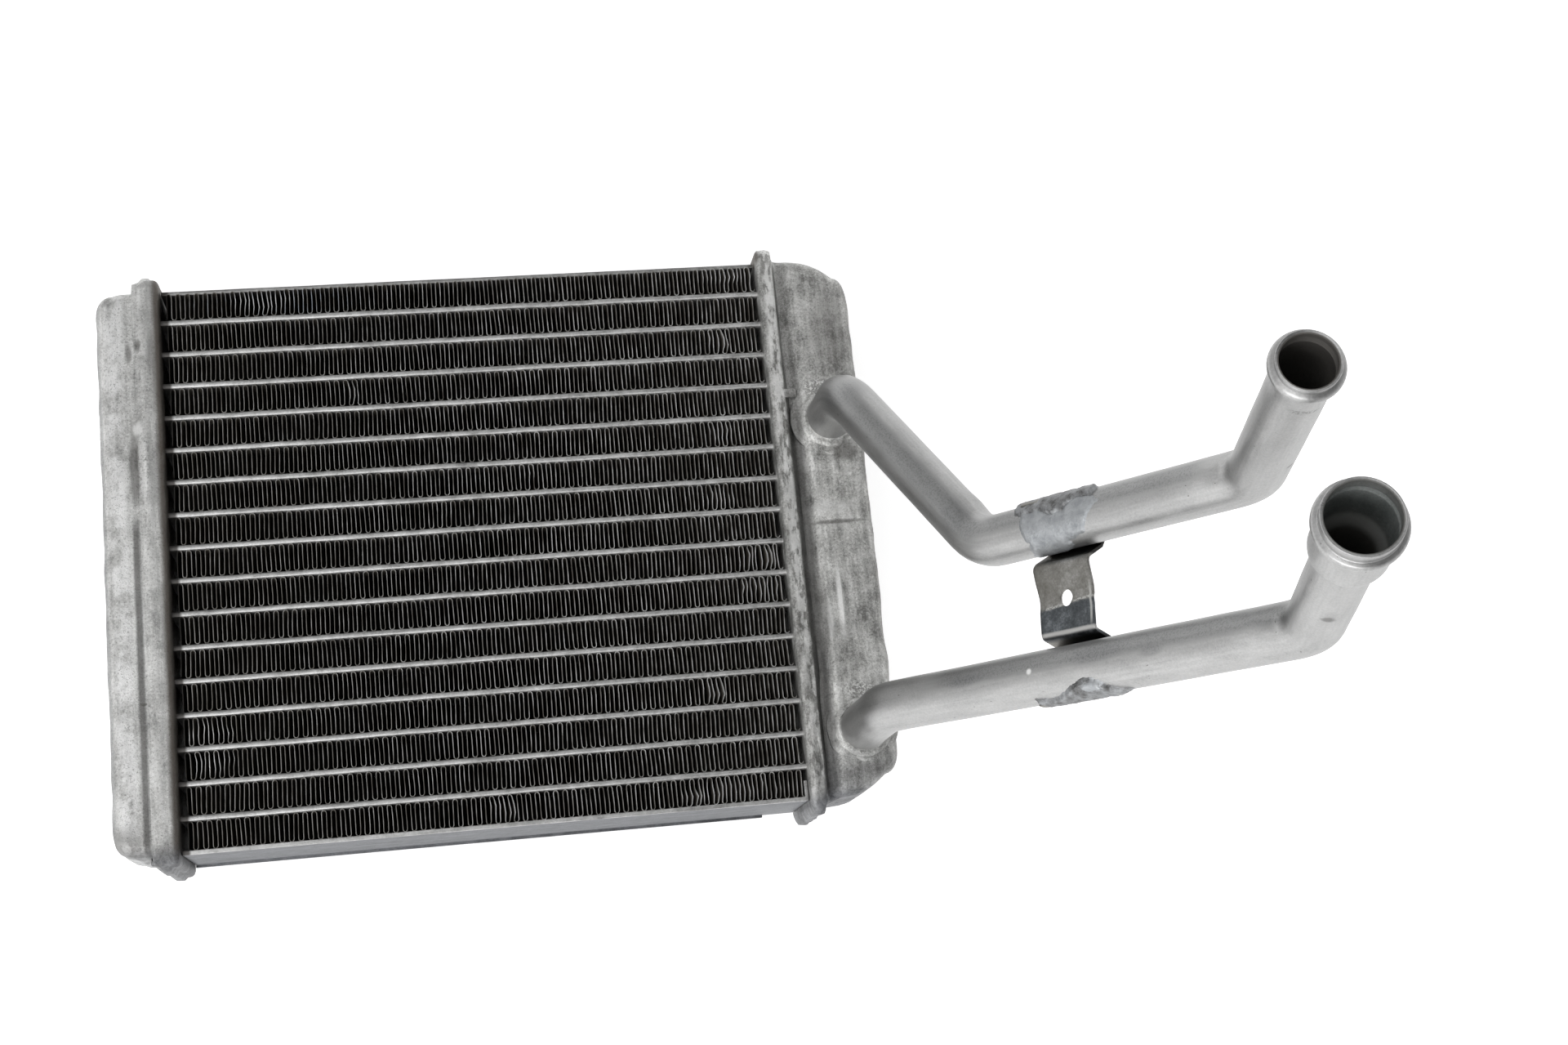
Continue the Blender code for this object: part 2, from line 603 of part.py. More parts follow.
def swept_skin(name, points, radius, collection):
    """Open round skin along the points, made by a bevelled curve and then turned into a mesh."""
    curve = bpy.data.curves.new(name, 'CURVE')
    curve.dimensions = '3D'
    curve.bevel_depth = radius
    curve.bevel_resolution = PIPE_SIDES_STEP
    curve.use_fill_caps = False
    spline = curve.splines.new('POLY')
    spline.points.add(len(points) - 1)
    for target, point in zip(spline.points, points):
        target.co = (*point, 1.0)
    guide = bpy.data.objects.new(name + "_guide", curve)
    collection.objects.link(guide)
    evaluated = guide.evaluated_get(bpy.context.evaluated_depsgraph_get())
    mesh = bpy.data.meshes.new_from_object(evaluated)
    mesh.name = name
    bpy.data.objects.remove(guide, do_unlink=True)
    bpy.data.curves.remove(curve)
    return mesh


def add_end_form(mesh, end, axis, form):
    """Draw the open end of a skin on through rings of (distance, radius) along the axis."""
    bm = bmesh.new()
    bm.from_mesh(mesh)
    ring = [vert for vert in bm.verts if (vert.co - end).length < PIPE_DIAMETER]
    edges = [edge for edge in bm.edges if edge.is_boundary and edge.verts[0] in ring]
    for distance, radius in form:
        grown = bmesh.ops.extrude_edge_only(bm, edges=edges)
        moved = [item for item in grown["geom"] if isinstance(item, bmesh.types.BMVert)]
        edges = [item for item in grown["geom"]
                 if isinstance(item, bmesh.types.BMEdge) and item.is_boundary]
        for vert in moved:
            offset = vert.co - end
            across = offset - axis * offset.dot(axis)
            vert.co = end + axis * distance + across.normalized() * radius
    bmesh.ops.recalc_face_normals(bm, faces=bm.faces)
    bm.to_mesh(mesh)
    bm.free()


def bead(distance, base, peak):
    """Rings of one rolled bead about a distance along a nipple."""
    half = BEAD_WIDTH / 2
    return [(distance - half, base), (distance - half / 3, peak), (distance + half / 3, peak),
            (distance + half, base)]


def upper_end_form():
    lip = UPPER_LIP_DIAMETER / 2
    peak = UPPER_BEAD_DIAMETER / 2
    length = UPPER_BEAD_SETBACK + 2 * BEAD_WIDTH
    return length, bead(length - UPPER_BEAD_SETBACK, lip, peak) + [(length, lip)]


def lower_end_form():
    cup = LOWER_CUP_DIAMETER / 2
    peak = LOWER_BEAD_DIAMETER / 2
    length = LOWER_CUP_LENGTH + LOWER_CUP_TAPER
    form = [(0.45 * LOWER_CUP_TAPER, PIPE_RADIUS + 0.4 * (cup - PIPE_RADIUS)),
            (LOWER_CUP_TAPER, cup)]
    form += bead(length - LOWER_BEAD_SETBACK, cup, peak)
    return length, form + [(length, cup)]


def make_pipe(name, route, radii, end_form, parts, root):
    form_length, form = end_form
    axis = (route[-1] - route[-2]).normalized()
    corners = list(route)
    corners[0] = corners[0] + Vector((0, 0, TANK_FRONT - PIPE_INSERTION))
    corners[-1] = corners[-1] - axis * form_length
    mesh = swept_skin(name, rounded_path(corners, radii), PIPE_RADIUS, parts)
    add_end_form(mesh, corners[-1], axis, form)
    shade(mesh)
    pipe = add_object(name, mesh, parts, "pipe_aluminium", root)
    add_solidify(pipe, PIPE_WALL, -1.0)
    return pipe


def strap_frame():
    """Axes of the bracket: along the runs, from the lower run to the upper one, and outwards."""
    knee = upper_route()[2]
    elbow = lower_route()[1]
    between = knee - elbow
    across = between - RUN_DIRECTION * between.dot(RUN_DIRECTION)
    spacing = across.length
    across.normalize()
    outward = RUN_DIRECTION.cross(across)
    origin = knee - across * spacing
    return origin, across, outward, spacing


def wrap_rows(web_offset, shelf_share, end, gap):
    """Half of the strap, from its end in front of a pipe round the back to the start of its web.

    Rows of (height, outward offset) about the pipe's middle; the other pipe lies below it.
    """
    radius = PIPE_RADIUS + SEAT_GAP + STRAP_THICKNESS / 2
    back = radius + shelf_share * gap
    lift_off = SHELF_BACK_ANGLE - math.acos(radius / back)
    rows = []
    for step in range(WRAP_STEPS + 1):
        angle = end + (lift_off - end) * step / WRAP_STEPS
        rows.append((radius * math.sin(angle), radius * math.cos(angle)))
    shelf = Vector((back * math.sin(SHELF_BACK_ANGLE), back * math.cos(SHELF_BACK_ANGLE)))
    fold = Vector((-PIPE_RADIUS - STRAP_FOLD_SHARE * gap, web_offset))
    on_shelf = fold + (shelf - fold).normalized() * STRAP_FOLD_ROUNDING
    on_web = fold + Vector((-STRAP_FOLD_ROUNDING, 0.0))
    rows.append(tuple(shelf))
    for step in range(FOLD_STEPS + 1):
        share = step / FOLD_STEPS
        first = on_shelf.lerp(fold, share)
        rows.append(tuple(first.lerp(fold.lerp(on_web, share), share)))
    return rows


def strap_profile(spacing):
    """Rows of (height above the lower run, outward offset) from the upper end to the lower one."""
    gap = spacing - PIPE_DIAMETER
    upper = wrap_rows(WEB_TOP_OFFSET, UPPER_SHELF_SHARE, UPPER_WRAP_END, gap)
    lower = wrap_rows(WEB_BOTTOM_OFFSET, LOWER_SHELF_SHARE, LOWER_WRAP_END, gap)
    rows = [(spacing + height, offset) for height, offset in upper]
    return rows + [(-height, offset) for height, offset in reversed(lower)]


def make_bracket(parts, cutters, root):
    origin, across, outward, spacing = strap_frame()
    bm = bmesh.new()
    rows = []
    for height, offset in strap_profile(spacing):
        centre = origin + across * height + outward * offset + RUN_DIRECTION * STRAP_STATION
        rows.append([bm.verts.new(centre - RUN_DIRECTION * STRAP_WIDTH / 2),
                     bm.verts.new(centre + RUN_DIRECTION * STRAP_WIDTH / 2)])
    for row, following in zip(rows, rows[1:]):
        bm.faces.new((row[0], row[1], following[1], following[0]))
    mesh = mesh_from(bm, "pipe_bracket")
    shade(mesh)
    bracket = add_object("pipe_bracket", mesh, parts, "bracket_aluminium", root)
    add_solidify(bracket, STRAP_THICKNESS, 0.0)
    bm = bmesh.new()
    bmesh.ops.create_cone(bm, cap_ends=True, segments=20, radius1=STRAP_HOLE_DIAMETER / 2,
                          radius2=STRAP_HOLE_DIAMETER / 2, depth=4 * STRAP_THICKNESS)
    hole = add_cutter("bracket_hole", mesh_from(bm, "bracket_hole"), cutters, root)
    centre = origin + across * spacing / 2 + RUN_DIRECTION * STRAP_STATION
    turn = Matrix((RUN_DIRECTION, across, outward)).transposed().to_4x4()
    hole.matrix_local = Matrix.Translation(centre) @ turn
    combine(bracket, hole, 'DIFFERENCE')


def centre_on_footprint(root, parts):
    """Move the assembly so that its origin is the middle of its box, on the resting plane."""
    bpy.context.view_layer.update()
    depsgraph = bpy.context.evaluated_depsgraph_get()
    corners = []
    for thing in parts.objects:
        mesh = thing.evaluated_get(depsgraph).to_mesh()
        corners += [thing.matrix_world @ vert.co for vert in mesh.vertices]
        thing.evaluated_get(depsgraph).to_mesh_clear()
    low = [min(corner[axis] for corner in corners) for axis in range(3)]
    high = [max(corner[axis] for corner in corners) for axis in range(3)]
    root.location = (-(low[0] + high[0]) / 2, -(low[1] + high[1]) / 2, -low[2])
    bpy.context.view_layer.update()


def main():
    clear_scene()
    parts = make_collection("heater_core")
    cutters = make_collection("heater_core_cutters")
    root = bpy.data.objects.new("assembly", None)
    bpy.context.scene.collection.objects.link(root)

    slots = add_cutter("tube_slots", tube_slots_mesh(), cutters, root)
    make_header("left_header_plate", LEFT_RIM_HEIGHT, LEFT_LUG_START, LEFT_LUG_WIDTH,
                left_side, slots, parts, cutters, root)
    right_header = make_header("right_header_plate", RIGHT_RIM_HEIGHT, RIGHT_LUG_START,
                               RIGHT_LUG_WIDTH, right_side, slots, parts, cutters, root)
    add_clinch_tab(right_header, cutters, root)

    left_tank, left_cavity = make_tank("left_tank", LEFT_TANK_FORM, left_side, parts, cutters, root)
    combine(left_tank, left_cavity, 'DIFFERENCE')
    right_tank, right_cavity = make_tank("right_tank", RIGHT_TANK_FORM, right_side, parts, cutters,
                                         root)
    add_ports(right_tank, cutters, root)
    combine(right_tank, right_cavity, 'DIFFERENCE')
    bore_ports(right_tank, cutters, root)
    score_crease(right_tank, cutters, root)
    make_baffle(parts, root)

    make_tubes(parts, root)
    make_fins(parts, root)
    make_side_plates(parts, cutters, root)

    make_pipe("upper_pipe", upper_route(), (ROOT_BEND_RADIUS, BEND_RADIUS, NIPPLE_BEND_RADIUS),
              upper_end_form(), parts, root)
    make_pipe("lower_pipe", lower_route(), (ROOT_BEND_RADIUS, NIPPLE_BEND_RADIUS),
              lower_end_form(), parts, root)
    make_bracket(parts, cutters, root)
    centre_on_footprint(root, parts)


main()
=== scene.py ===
"""Looks of a brazed aluminium heater core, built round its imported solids.

Pieces are shaped in millimetres in the core's own frame: x runs along the flat tubes from the
left header tray, y up the trays from the bottom plate, z out of the core's front face. At the
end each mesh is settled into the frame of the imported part, in metres.
"""
import math

import bmesh
import bpy
from mathutils import Matrix, Vector, noise


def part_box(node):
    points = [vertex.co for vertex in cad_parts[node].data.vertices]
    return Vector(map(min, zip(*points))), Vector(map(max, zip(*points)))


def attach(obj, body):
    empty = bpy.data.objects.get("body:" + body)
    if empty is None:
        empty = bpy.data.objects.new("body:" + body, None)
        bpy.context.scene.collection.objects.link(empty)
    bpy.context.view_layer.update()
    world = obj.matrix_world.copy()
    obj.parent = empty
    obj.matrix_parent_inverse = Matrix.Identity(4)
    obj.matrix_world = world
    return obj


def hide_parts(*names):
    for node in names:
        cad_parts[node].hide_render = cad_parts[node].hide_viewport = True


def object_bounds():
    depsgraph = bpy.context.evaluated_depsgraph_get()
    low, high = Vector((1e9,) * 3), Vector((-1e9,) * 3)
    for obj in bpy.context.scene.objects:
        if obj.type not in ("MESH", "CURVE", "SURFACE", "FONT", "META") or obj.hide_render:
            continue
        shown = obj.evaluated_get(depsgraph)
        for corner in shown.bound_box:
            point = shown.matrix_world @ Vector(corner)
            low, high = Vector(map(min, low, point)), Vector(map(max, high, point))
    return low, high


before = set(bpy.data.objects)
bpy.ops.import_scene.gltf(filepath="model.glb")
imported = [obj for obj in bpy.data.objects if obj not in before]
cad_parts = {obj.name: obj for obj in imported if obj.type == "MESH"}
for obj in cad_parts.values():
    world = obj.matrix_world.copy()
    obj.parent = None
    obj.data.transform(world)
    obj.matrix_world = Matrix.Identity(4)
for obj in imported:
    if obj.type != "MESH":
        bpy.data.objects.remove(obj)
cad_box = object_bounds()

MM = 0.001
SEAT_GAP = 0.3

# The core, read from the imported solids
PLATE_LOW, PLATE_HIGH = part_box("bottom_side_plate")
CORE_ORIGIN = Vector((PLATE_LOW.x - SEAT_GAP * MM,
                      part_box("fin_row_01")[0].y - SEAT_GAP * MM,
                      PLATE_HIGH.z))
CORE_WIDTH = (PLATE_HIGH.x - PLATE_LOW.x) / MM + 2 * SEAT_GAP
CORE_HEIGHT = (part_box("top_side_plate")[0].y - CORE_ORIGIN.y) / MM
CORE_DEPTH = (PLATE_HIGH.z - PLATE_LOW.z) / MM
MIDDLE_Y = CORE_HEIGHT / 2
MIDDLE_Z = -CORE_DEPTH / 2

# Flat tubes and fins
TUBE_COUNT = 16
TUBE_PITCH = 11.15
TUBE_THICKNESS = 1.9
TUBE_WALL = 0.4
TUBE_END_REACH = 4.0
FIN_GAP = TUBE_PITCH - TUBE_THICKNESS
FIN_WALL_PITCH = 1.5
FIN_CREST_RISE = 0.62
FIN_SHEET = 0.2
FIN_SKEW = 0.95
FIN_SETBACK = 0.5
FIN_END_CLEARANCE = 1.1

# Side plates
PLATE_THICKNESS = 1.4
TOP_PLATE_SETBACK = 1.8
BACK_LIP_HEIGHT = 0.9
BACK_LIP_THICKNESS = 1.2
BACK_LIP_END_CLEARANCE = 11.0
END_TAB_HEIGHT = 5.4
END_TAB_THICKNESS = 1.1

# Header trays
TRAY_WALL = 1.6
TRAY_HALF_HEIGHT = MIDDLE_Y + 5.0
TRAY_HALF_DEPTH = CORE_DEPTH / 2 + 4.0
TRAY_FRONT = MIDDLE_Z + TRAY_HALF_DEPTH
TRAY_CORNER = 4.0
TRAY_EDGE = 1.9
LEFT_RIM = 8.6
RIGHT_RIM = 5.0
LUG_REACH = 1.4
LEFT_END_REACH = (5.0, 7.0, 24.0)
LEFT_END_PUSH = (-3.0, -2.6)
CLINCH_TAB_HEIGHT = 139.4
CLINCH_TAB_SIZE = (4.6, 3.2, 1.2)
SHELL_DEPTH_STEP = 4.0

# Tanks
TANK_WALL = 1.5
TANK_HALF_DEPTH = CORE_DEPTH / 2 + 2.8
TANK_FRONT = MIDDLE_Z + TANK_HALF_DEPTH
TANK_CORNER = 5.0
BAFFLE_HEIGHT = 93.2
SHOULDER_CURVE = 1.5
TANK_BODY_STEPS = 12
SHOULDER_STEPS = 9
TANK_EDGE_STEPS = 7

# Outside of each tank. Its skirt ends at rim. The valley is a reach from the core and a depth
# below the skirt. The body starts at body_start and passes the core's ends by end_reach. The
# shoulder is the reach where the ends begin to fall, by how much, and how much longer than the
# edge's radius their rounding is.
LEFT_TANK = {"rim": LEFT_RIM - 1.6, "valley": (LEFT_RIM - 1.2, 0.0),
             "body_start": LEFT_RIM + 0.4, "end_reach": 1.2, "shoulder": (13.0, 0.8, 1.0),
             "edge": 5.6, "depth": 21.2}
RIGHT_TANK = {"rim": RIGHT_RIM - 0.3, "valley": (8.2, 1.7), "body_start": 13.6,
              "end_reach": 1.2, "shoulder": (15.0, 6.8, 1.8), "edge": 5.0, "depth": 32.0}

# Pipes
PIPE_RADIUS = 8.0
PIPE_WALL = 1.0
PIPE_SIDES = 48
COLLAR_SIDES = 96
PIPE_STEP = 5.0
BEND_RADIUS = 17.0
BEND_STEP = math.radians(7.5)
PORT_X = CORE_WIDTH + 20.1
UPPER_PORT_HEIGHT = 129.6
LOWER_PORT_HEIGHT = 21.3
PIPE_INSERTION = 4.5
UPPER_RISER = 32.5
LOWER_RISER = 45.9
DOG_LEG_LENGTH = 87.0
UPPER_RUN_LENGTH = 101.4
LOWER_RUN_LENGTH = 160.9
UPPER_NIPPLE_LENGTH = 77.9
LOWER_NIPPLE_LENGTH = 81.1

# Ends of the nipples: radii of the lips, beads and cup
UPPER_LIP_RADIUS = 8.3
UPPER_BEAD_RADIUS = 9.7
CUP_RADIUS = 10.1
LOWER_BEAD_RADIUS = 11.6
BEAD_WIDTH = 3.4
BEAD_STEP = 0.35
LIP_ROUNDING = 0.12

# Dents and lumps of the front faces: reach from the core, height up it, reach along each axis,
# and how far out of the face
LEFT_TRAY_DENTS = (
    (6.2, 129.0, (2.0, 14.0, 5.0), 1.2), (7.6, 140.6, (2.2, 3.2, 5.0), 1.0),
    (7.6, 169.0, (1.7, 3.6, 5.0), -1.2), (3.6, 158.0, (2.4, 12.0, 5.0), -0.6),
    (5.0, 186.0, (2.4, 5.0, 5.0), -0.8))
LEFT_TANK_DENTS = (
    (10.4, 166.0, (1.8, 5.0, 6.0), -1.3), (9.7, 130.5, (2.4, 12.0, 6.0), -1.5),
    (13.4, 121.0, (1.8, 5.0, 6.0), 0.7), (10.2, 62.0, (1.8, 66.0, 6.0), -0.9))
RIGHT_TANK_DENTS = (
    (19.0, BAFFLE_HEIGHT, (15.0, 2.2, 6.0), -1.0),
    (17.0, BAFFLE_HEIGHT + 4.5, (12.0, 4.5, 6.0), 0.6),
    (17.2, 66.0, (2.3, 17.0, 6.0), 1.7), (12.9, 58.0, (1.9, 11.0, 6.0), 1.5),
    (11.5, 38.0, (9.0, 17.0, 7.0), 1.8), (24.0, 41.0, (10.0, 9.0, 7.0), 1.3),
    (20.1, LOWER_PORT_HEIGHT, (15.0, 16.0, 7.0), 1.0), (19.0, 147.0, (11.0, 8.0, 7.0), 0.8))

# Marks in the finishes: centre, reach along each axis and strength
# Dark spots on the trays and tanks, mostly painted shade: in the dents, along the baffle's crease,
# under the upper pipe's root and on the bottom ends, with a few other dark patches.
SOOT_AND_SHADE_SPOTS = (
    ((CORE_WIDTH + 23.0, 161.0, 3.0), (10.0, 20.0, 9.0), 0.7),
    ((-9.6, 127.0, 3.0), (2.5, 17.0, 6.0), 1.2),
    ((-10.4, 166.2, 3.0), (1.5, 4.6, 5.0), 1.0),
    ((-7.4, 169.0, 4.0), (1.2, 3.2, 5.0), 1.0),
    ((-3.0, 163.0, 4.0), (1.6, 14.0, 5.0), 0.6),
    ((-9.5, 47.7, 3.0), (1.9, 0.7, 5.0), 1.0),
    ((-17.0, 1.0, -2.0), (13.0, 11.0, 16.0), 0.9),
    ((-4.5, -5.0, 0.0), (5.0, 9.0, 12.0), 0.8),
    ((CORE_WIDTH + 19.0, BAFFLE_HEIGHT - 0.4, 3.0), (13.0, 1.0, 6.0), 1.0),
    ((CORE_WIDTH + 11.0, 60.0, 3.0), (2.6, 20.0, 6.0), 0.5),
    ((PORT_X + 4.0, UPPER_PORT_HEIGHT - 12.0, 3.0), (7.0, 5.0, 6.0), 1.0),
    ((PORT_X + 1.0, 7.0, 0.0), (15.0, 4.0, 9.0), 0.5))
# Painted highlights on raised lumps and ridges of the trays and tanks.
RIDGE_HIGHLIGHT_SPOTS = (
    ((-8.4, 139.8, 4.0), (2.4, 3.0, 5.0), 1.0),
    ((-13.4, 121.0, 3.0), (1.4, 4.0, 4.0), 0.7),
    ((CORE_WIDTH + 17.2, 64.5, 5.0), (1.7, 20.0, 5.0), 0.9),
    ((CORE_WIDTH + 12.9, 58.5, 5.0), (1.4, 12.0, 5.0), 0.8),
    ((CORE_WIDTH + 17.0, BAFFLE_HEIGHT + 4.5, 3.0), (11.0, 4.0, 6.0), 0.5))
SCALE_SPOTS = (
    ((PORT_X - 1.0, UPPER_PORT_HEIGHT + 11.0, 4.0), (11.0, 5.0, 6.0), 1.0),
    ((PORT_X + 1.0, LOWER_PORT_HEIGHT + 12.5, 4.0), (9.0, 4.5, 6.0), 1.0))
STAIN_SPOTS = (
    ((269.1, 20.6, 127.1), (12.0, 4.0, 14.0), 1.0),
    ((279.9, 17.5, 144.4), (5.0, 2.0, 6.0), 1.0),
    ((240.9, 21.8, 85.2), (8.0, 2.4, 10.0), 1.0),
    ((243.5, 72.5, 81.6), (6.0, 8.0, 7.0), 0.7),
    ((222.5, 126.5, 38.0), (11.0, 9.0, 13.0), 1.0))
DIRT_SPOTS = (
    ((309.2, 56.1, 190.7), (1.5, 3.0, 1.0), 1.0),
    ((305.2, 11.4, 208.1), (2.6, 3.0, 1.7), 0.8),
    ((291.0, 53.7, 137.5), (1.2, 2.0, 1.2), 1.0))

# Camera, as the photograph was taken: place in the core's frame and turn in degrees
CAMERA_PLACE = (84.66, -71.89, 720.24)
CAMERA_TURN = (13.7129, -8.1184, -5.8713)
CAMERA_LENS = 50.0

# Backdrop: pale round the object and dim overhead, and the share of it that lights the object
BACKDROP_TONES = [(0.0, 0.80), (0.30, 0.62), (0.62, 0.16), (1.0, 0.08)]
BACKDROP_SHARE = 0.35
FLOOR_SIZE = 12.0


def heading(azimuth, rise):
    """Unit vector from two angles in degrees: turn in the core's plane, then rise from it."""
    turn = math.radians(azimuth)
    lift = math.radians(rise)
    return Vector((math.cos(lift) * math.cos(turn), math.cos(lift) * math.sin(turn),
                   math.sin(lift)))


RUN = heading(-4.0, 56.3)
DOG_LEG = heading(-66.3, 34.9)
UPPER_NIPPLE = heading(144.8, 78.4)
LOWER_NIPPLE = heading(144.8, 75.3)


# Materials


class Signal:
    """One socket of a finish. Arithmetic on it adds Math nodes to the finish."""

    def __init__(self, tree, socket):
        self.tree = tree
        self.socket = socket

    def node(self, kind, settings, sockets, output=0):
        made = self.tree.nodes.new(kind)
        for name, value in settings.items():
            if name == "stops":
                set_stops(made.color_ramp, value)
            else:
                setattr(made, name, value)
        for name, value in sockets.items():
            if isinstance(value, Signal):
                self.tree.links.new(value.socket, made.inputs[name])
            else:
                made.inputs[name].default_value = value
        return Signal(self.tree, made.outputs[output])

    def math(self, operation, first, second):
        return self.node("ShaderNodeMath", {"operation": operation}, {0: first, 1: second})

    def __add__(self, other):
        return self.math("ADD", self, other)

    __radd__ = __add__

    def __sub__(self, other):
        return self.math("SUBTRACT", self, other)

    def __rsub__(self, other):
        return self.math("SUBTRACT", other, self)

    def __mul__(self, other):
        return self.math("MULTIPLY", self, other)

    __rmul__ = __mul__

    def limit(self):
        return self.node("ShaderNodeClamp", {}, {"Value": self})

    def rise(self, low, high):
        """0 below low, 1 above high and a smooth way between; low above high turns it round."""
        return self.node("ShaderNodeMapRange", {"interpolation_type": "SMOOTHSTEP"},
                         {"Value": self, "From Min": low, "From Max": high})

    def scaled(self, x, y, z):
        return self.node("ShaderNodeVectorMath", {"operation": "MULTIPLY"},
                         {0: self, 1: (x, y, z)})

    def clouds(self, scale, detail=3.0, roughness=0.55, distortion=0.0):
        return self.node("ShaderNodeTexNoise", {},
                         {"Vector": self, "Scale": scale, "Detail": detail,
                          "Roughness": roughness, "Distortion": distortion})

    def ramp(self, stops):
        return self.node("ShaderNodeValToRGB", {"stops": stops}, {"Fac": self})

    def over(self, below, above):
        """Colour that goes from below to above as this signal goes from 0 to 1."""
        return self.node("ShaderNodeMix", {"data_type": "RGBA"},
                         {0: self, 6: colour(below), 7: colour(above)}, output=2)

    def part(self, axis):
        return self.node("ShaderNodeSeparateXYZ", {}, {"Vector": self}, output="XYZ".index(axis))

    def along(self, direction, origin):
        """Length of a place along a direction, from an origin."""
        length = self.node("ShaderNodeVectorMath", {"operation": "DOT_PRODUCT"},
                           {0: self, 1: tuple(direction)}, output=1)
        return length - origin.dot(direction)

    def stored(self, name, output=2):
        """What the mesh stores on its points under a name: a value, or a vector as output 1."""
        return self.node("ShaderNodeAttribute", {"attribute_name": name}, {}, output)

    def near(self, centre, reach):
        """1 within a third of the reach from a value, falling to 0 at the reach."""
        offset = self.node("ShaderNodeMath", {"operation": "ABSOLUTE"}, {0: self - centre})
        return offset.rise(reach, reach / 3)

    def spot(self, centre, reach):
        """1 at a place of the core's frame, falling to 0 at the reach along each axis."""
        offset = self.node("ShaderNodeVectorMath", {"operation": "SUBTRACT"},
                           {0: self, 1: centre})
        share = offset.scaled(*(1 / size for size in reach))
        distance = self.node("ShaderNodeVectorMath", {"operation": "LENGTH"}, {0: share},
                             output=1)
        return distance.rise(1.0, 0.35)

    def spots(self, table):
        """Sum of several spots, each with its strength."""
        return sum(self.spot(centre, reach) * strength for centre, reach, strength in table)


def set_stops(ramp, stops):
    while len(ramp.elements) < len(stops):
        ramp.elements.new(1.0)
    for element, (place, tone) in zip(ramp.elements, stops):
        element.position = place
        element.color = colour(tone)


def colour(tone):
    """Opaque colour from one level or from three; a signal stays as it is."""
    if isinstance(tone, Signal):
        return tone
    if isinstance(tone, tuple):
        return (*tone, 1.0)
    return (tone, tone, tone, 1.0)


def new_finish(name):
    """A material, its shader and its surface coordinates in millimetres of the core's frame."""
    material = bpy.data.materials.new(name)
    material.use_nodes = True
    tree = material.node_tree
    shader = tree.nodes["Principled BSDF"]
    coordinates = tree.nodes.new("ShaderNodeTexCoord")
    here = Signal(tree, coordinates.outputs["Object"])
    moved = here.node("ShaderNodeVectorMath", {"operation": "SUBTRACT"},
                      {0: here, 1: CORE_ORIGIN})
    place = moved.scaled(1 / MM, 1 / MM, 1 / MM)
    return material, shader, place


def wire(shader, **feeds):
    """Feeds signals and plain values into the shader's sockets, named with underscores."""
    for name, value in feeds.items():
        socket = shader.inputs[name.replace("_", " ")]
        if isinstance(value, Signal):
            value.tree.links.new(value.socket, socket)
        else:
            socket.default_value = value


def relief(height, strength, distance):
    """Normal for a height pattern; distance is in millimetres."""
    return height.node("ShaderNodeBump", {},
                       {"Height": height, "Strength": strength, "Distance": distance * MM})


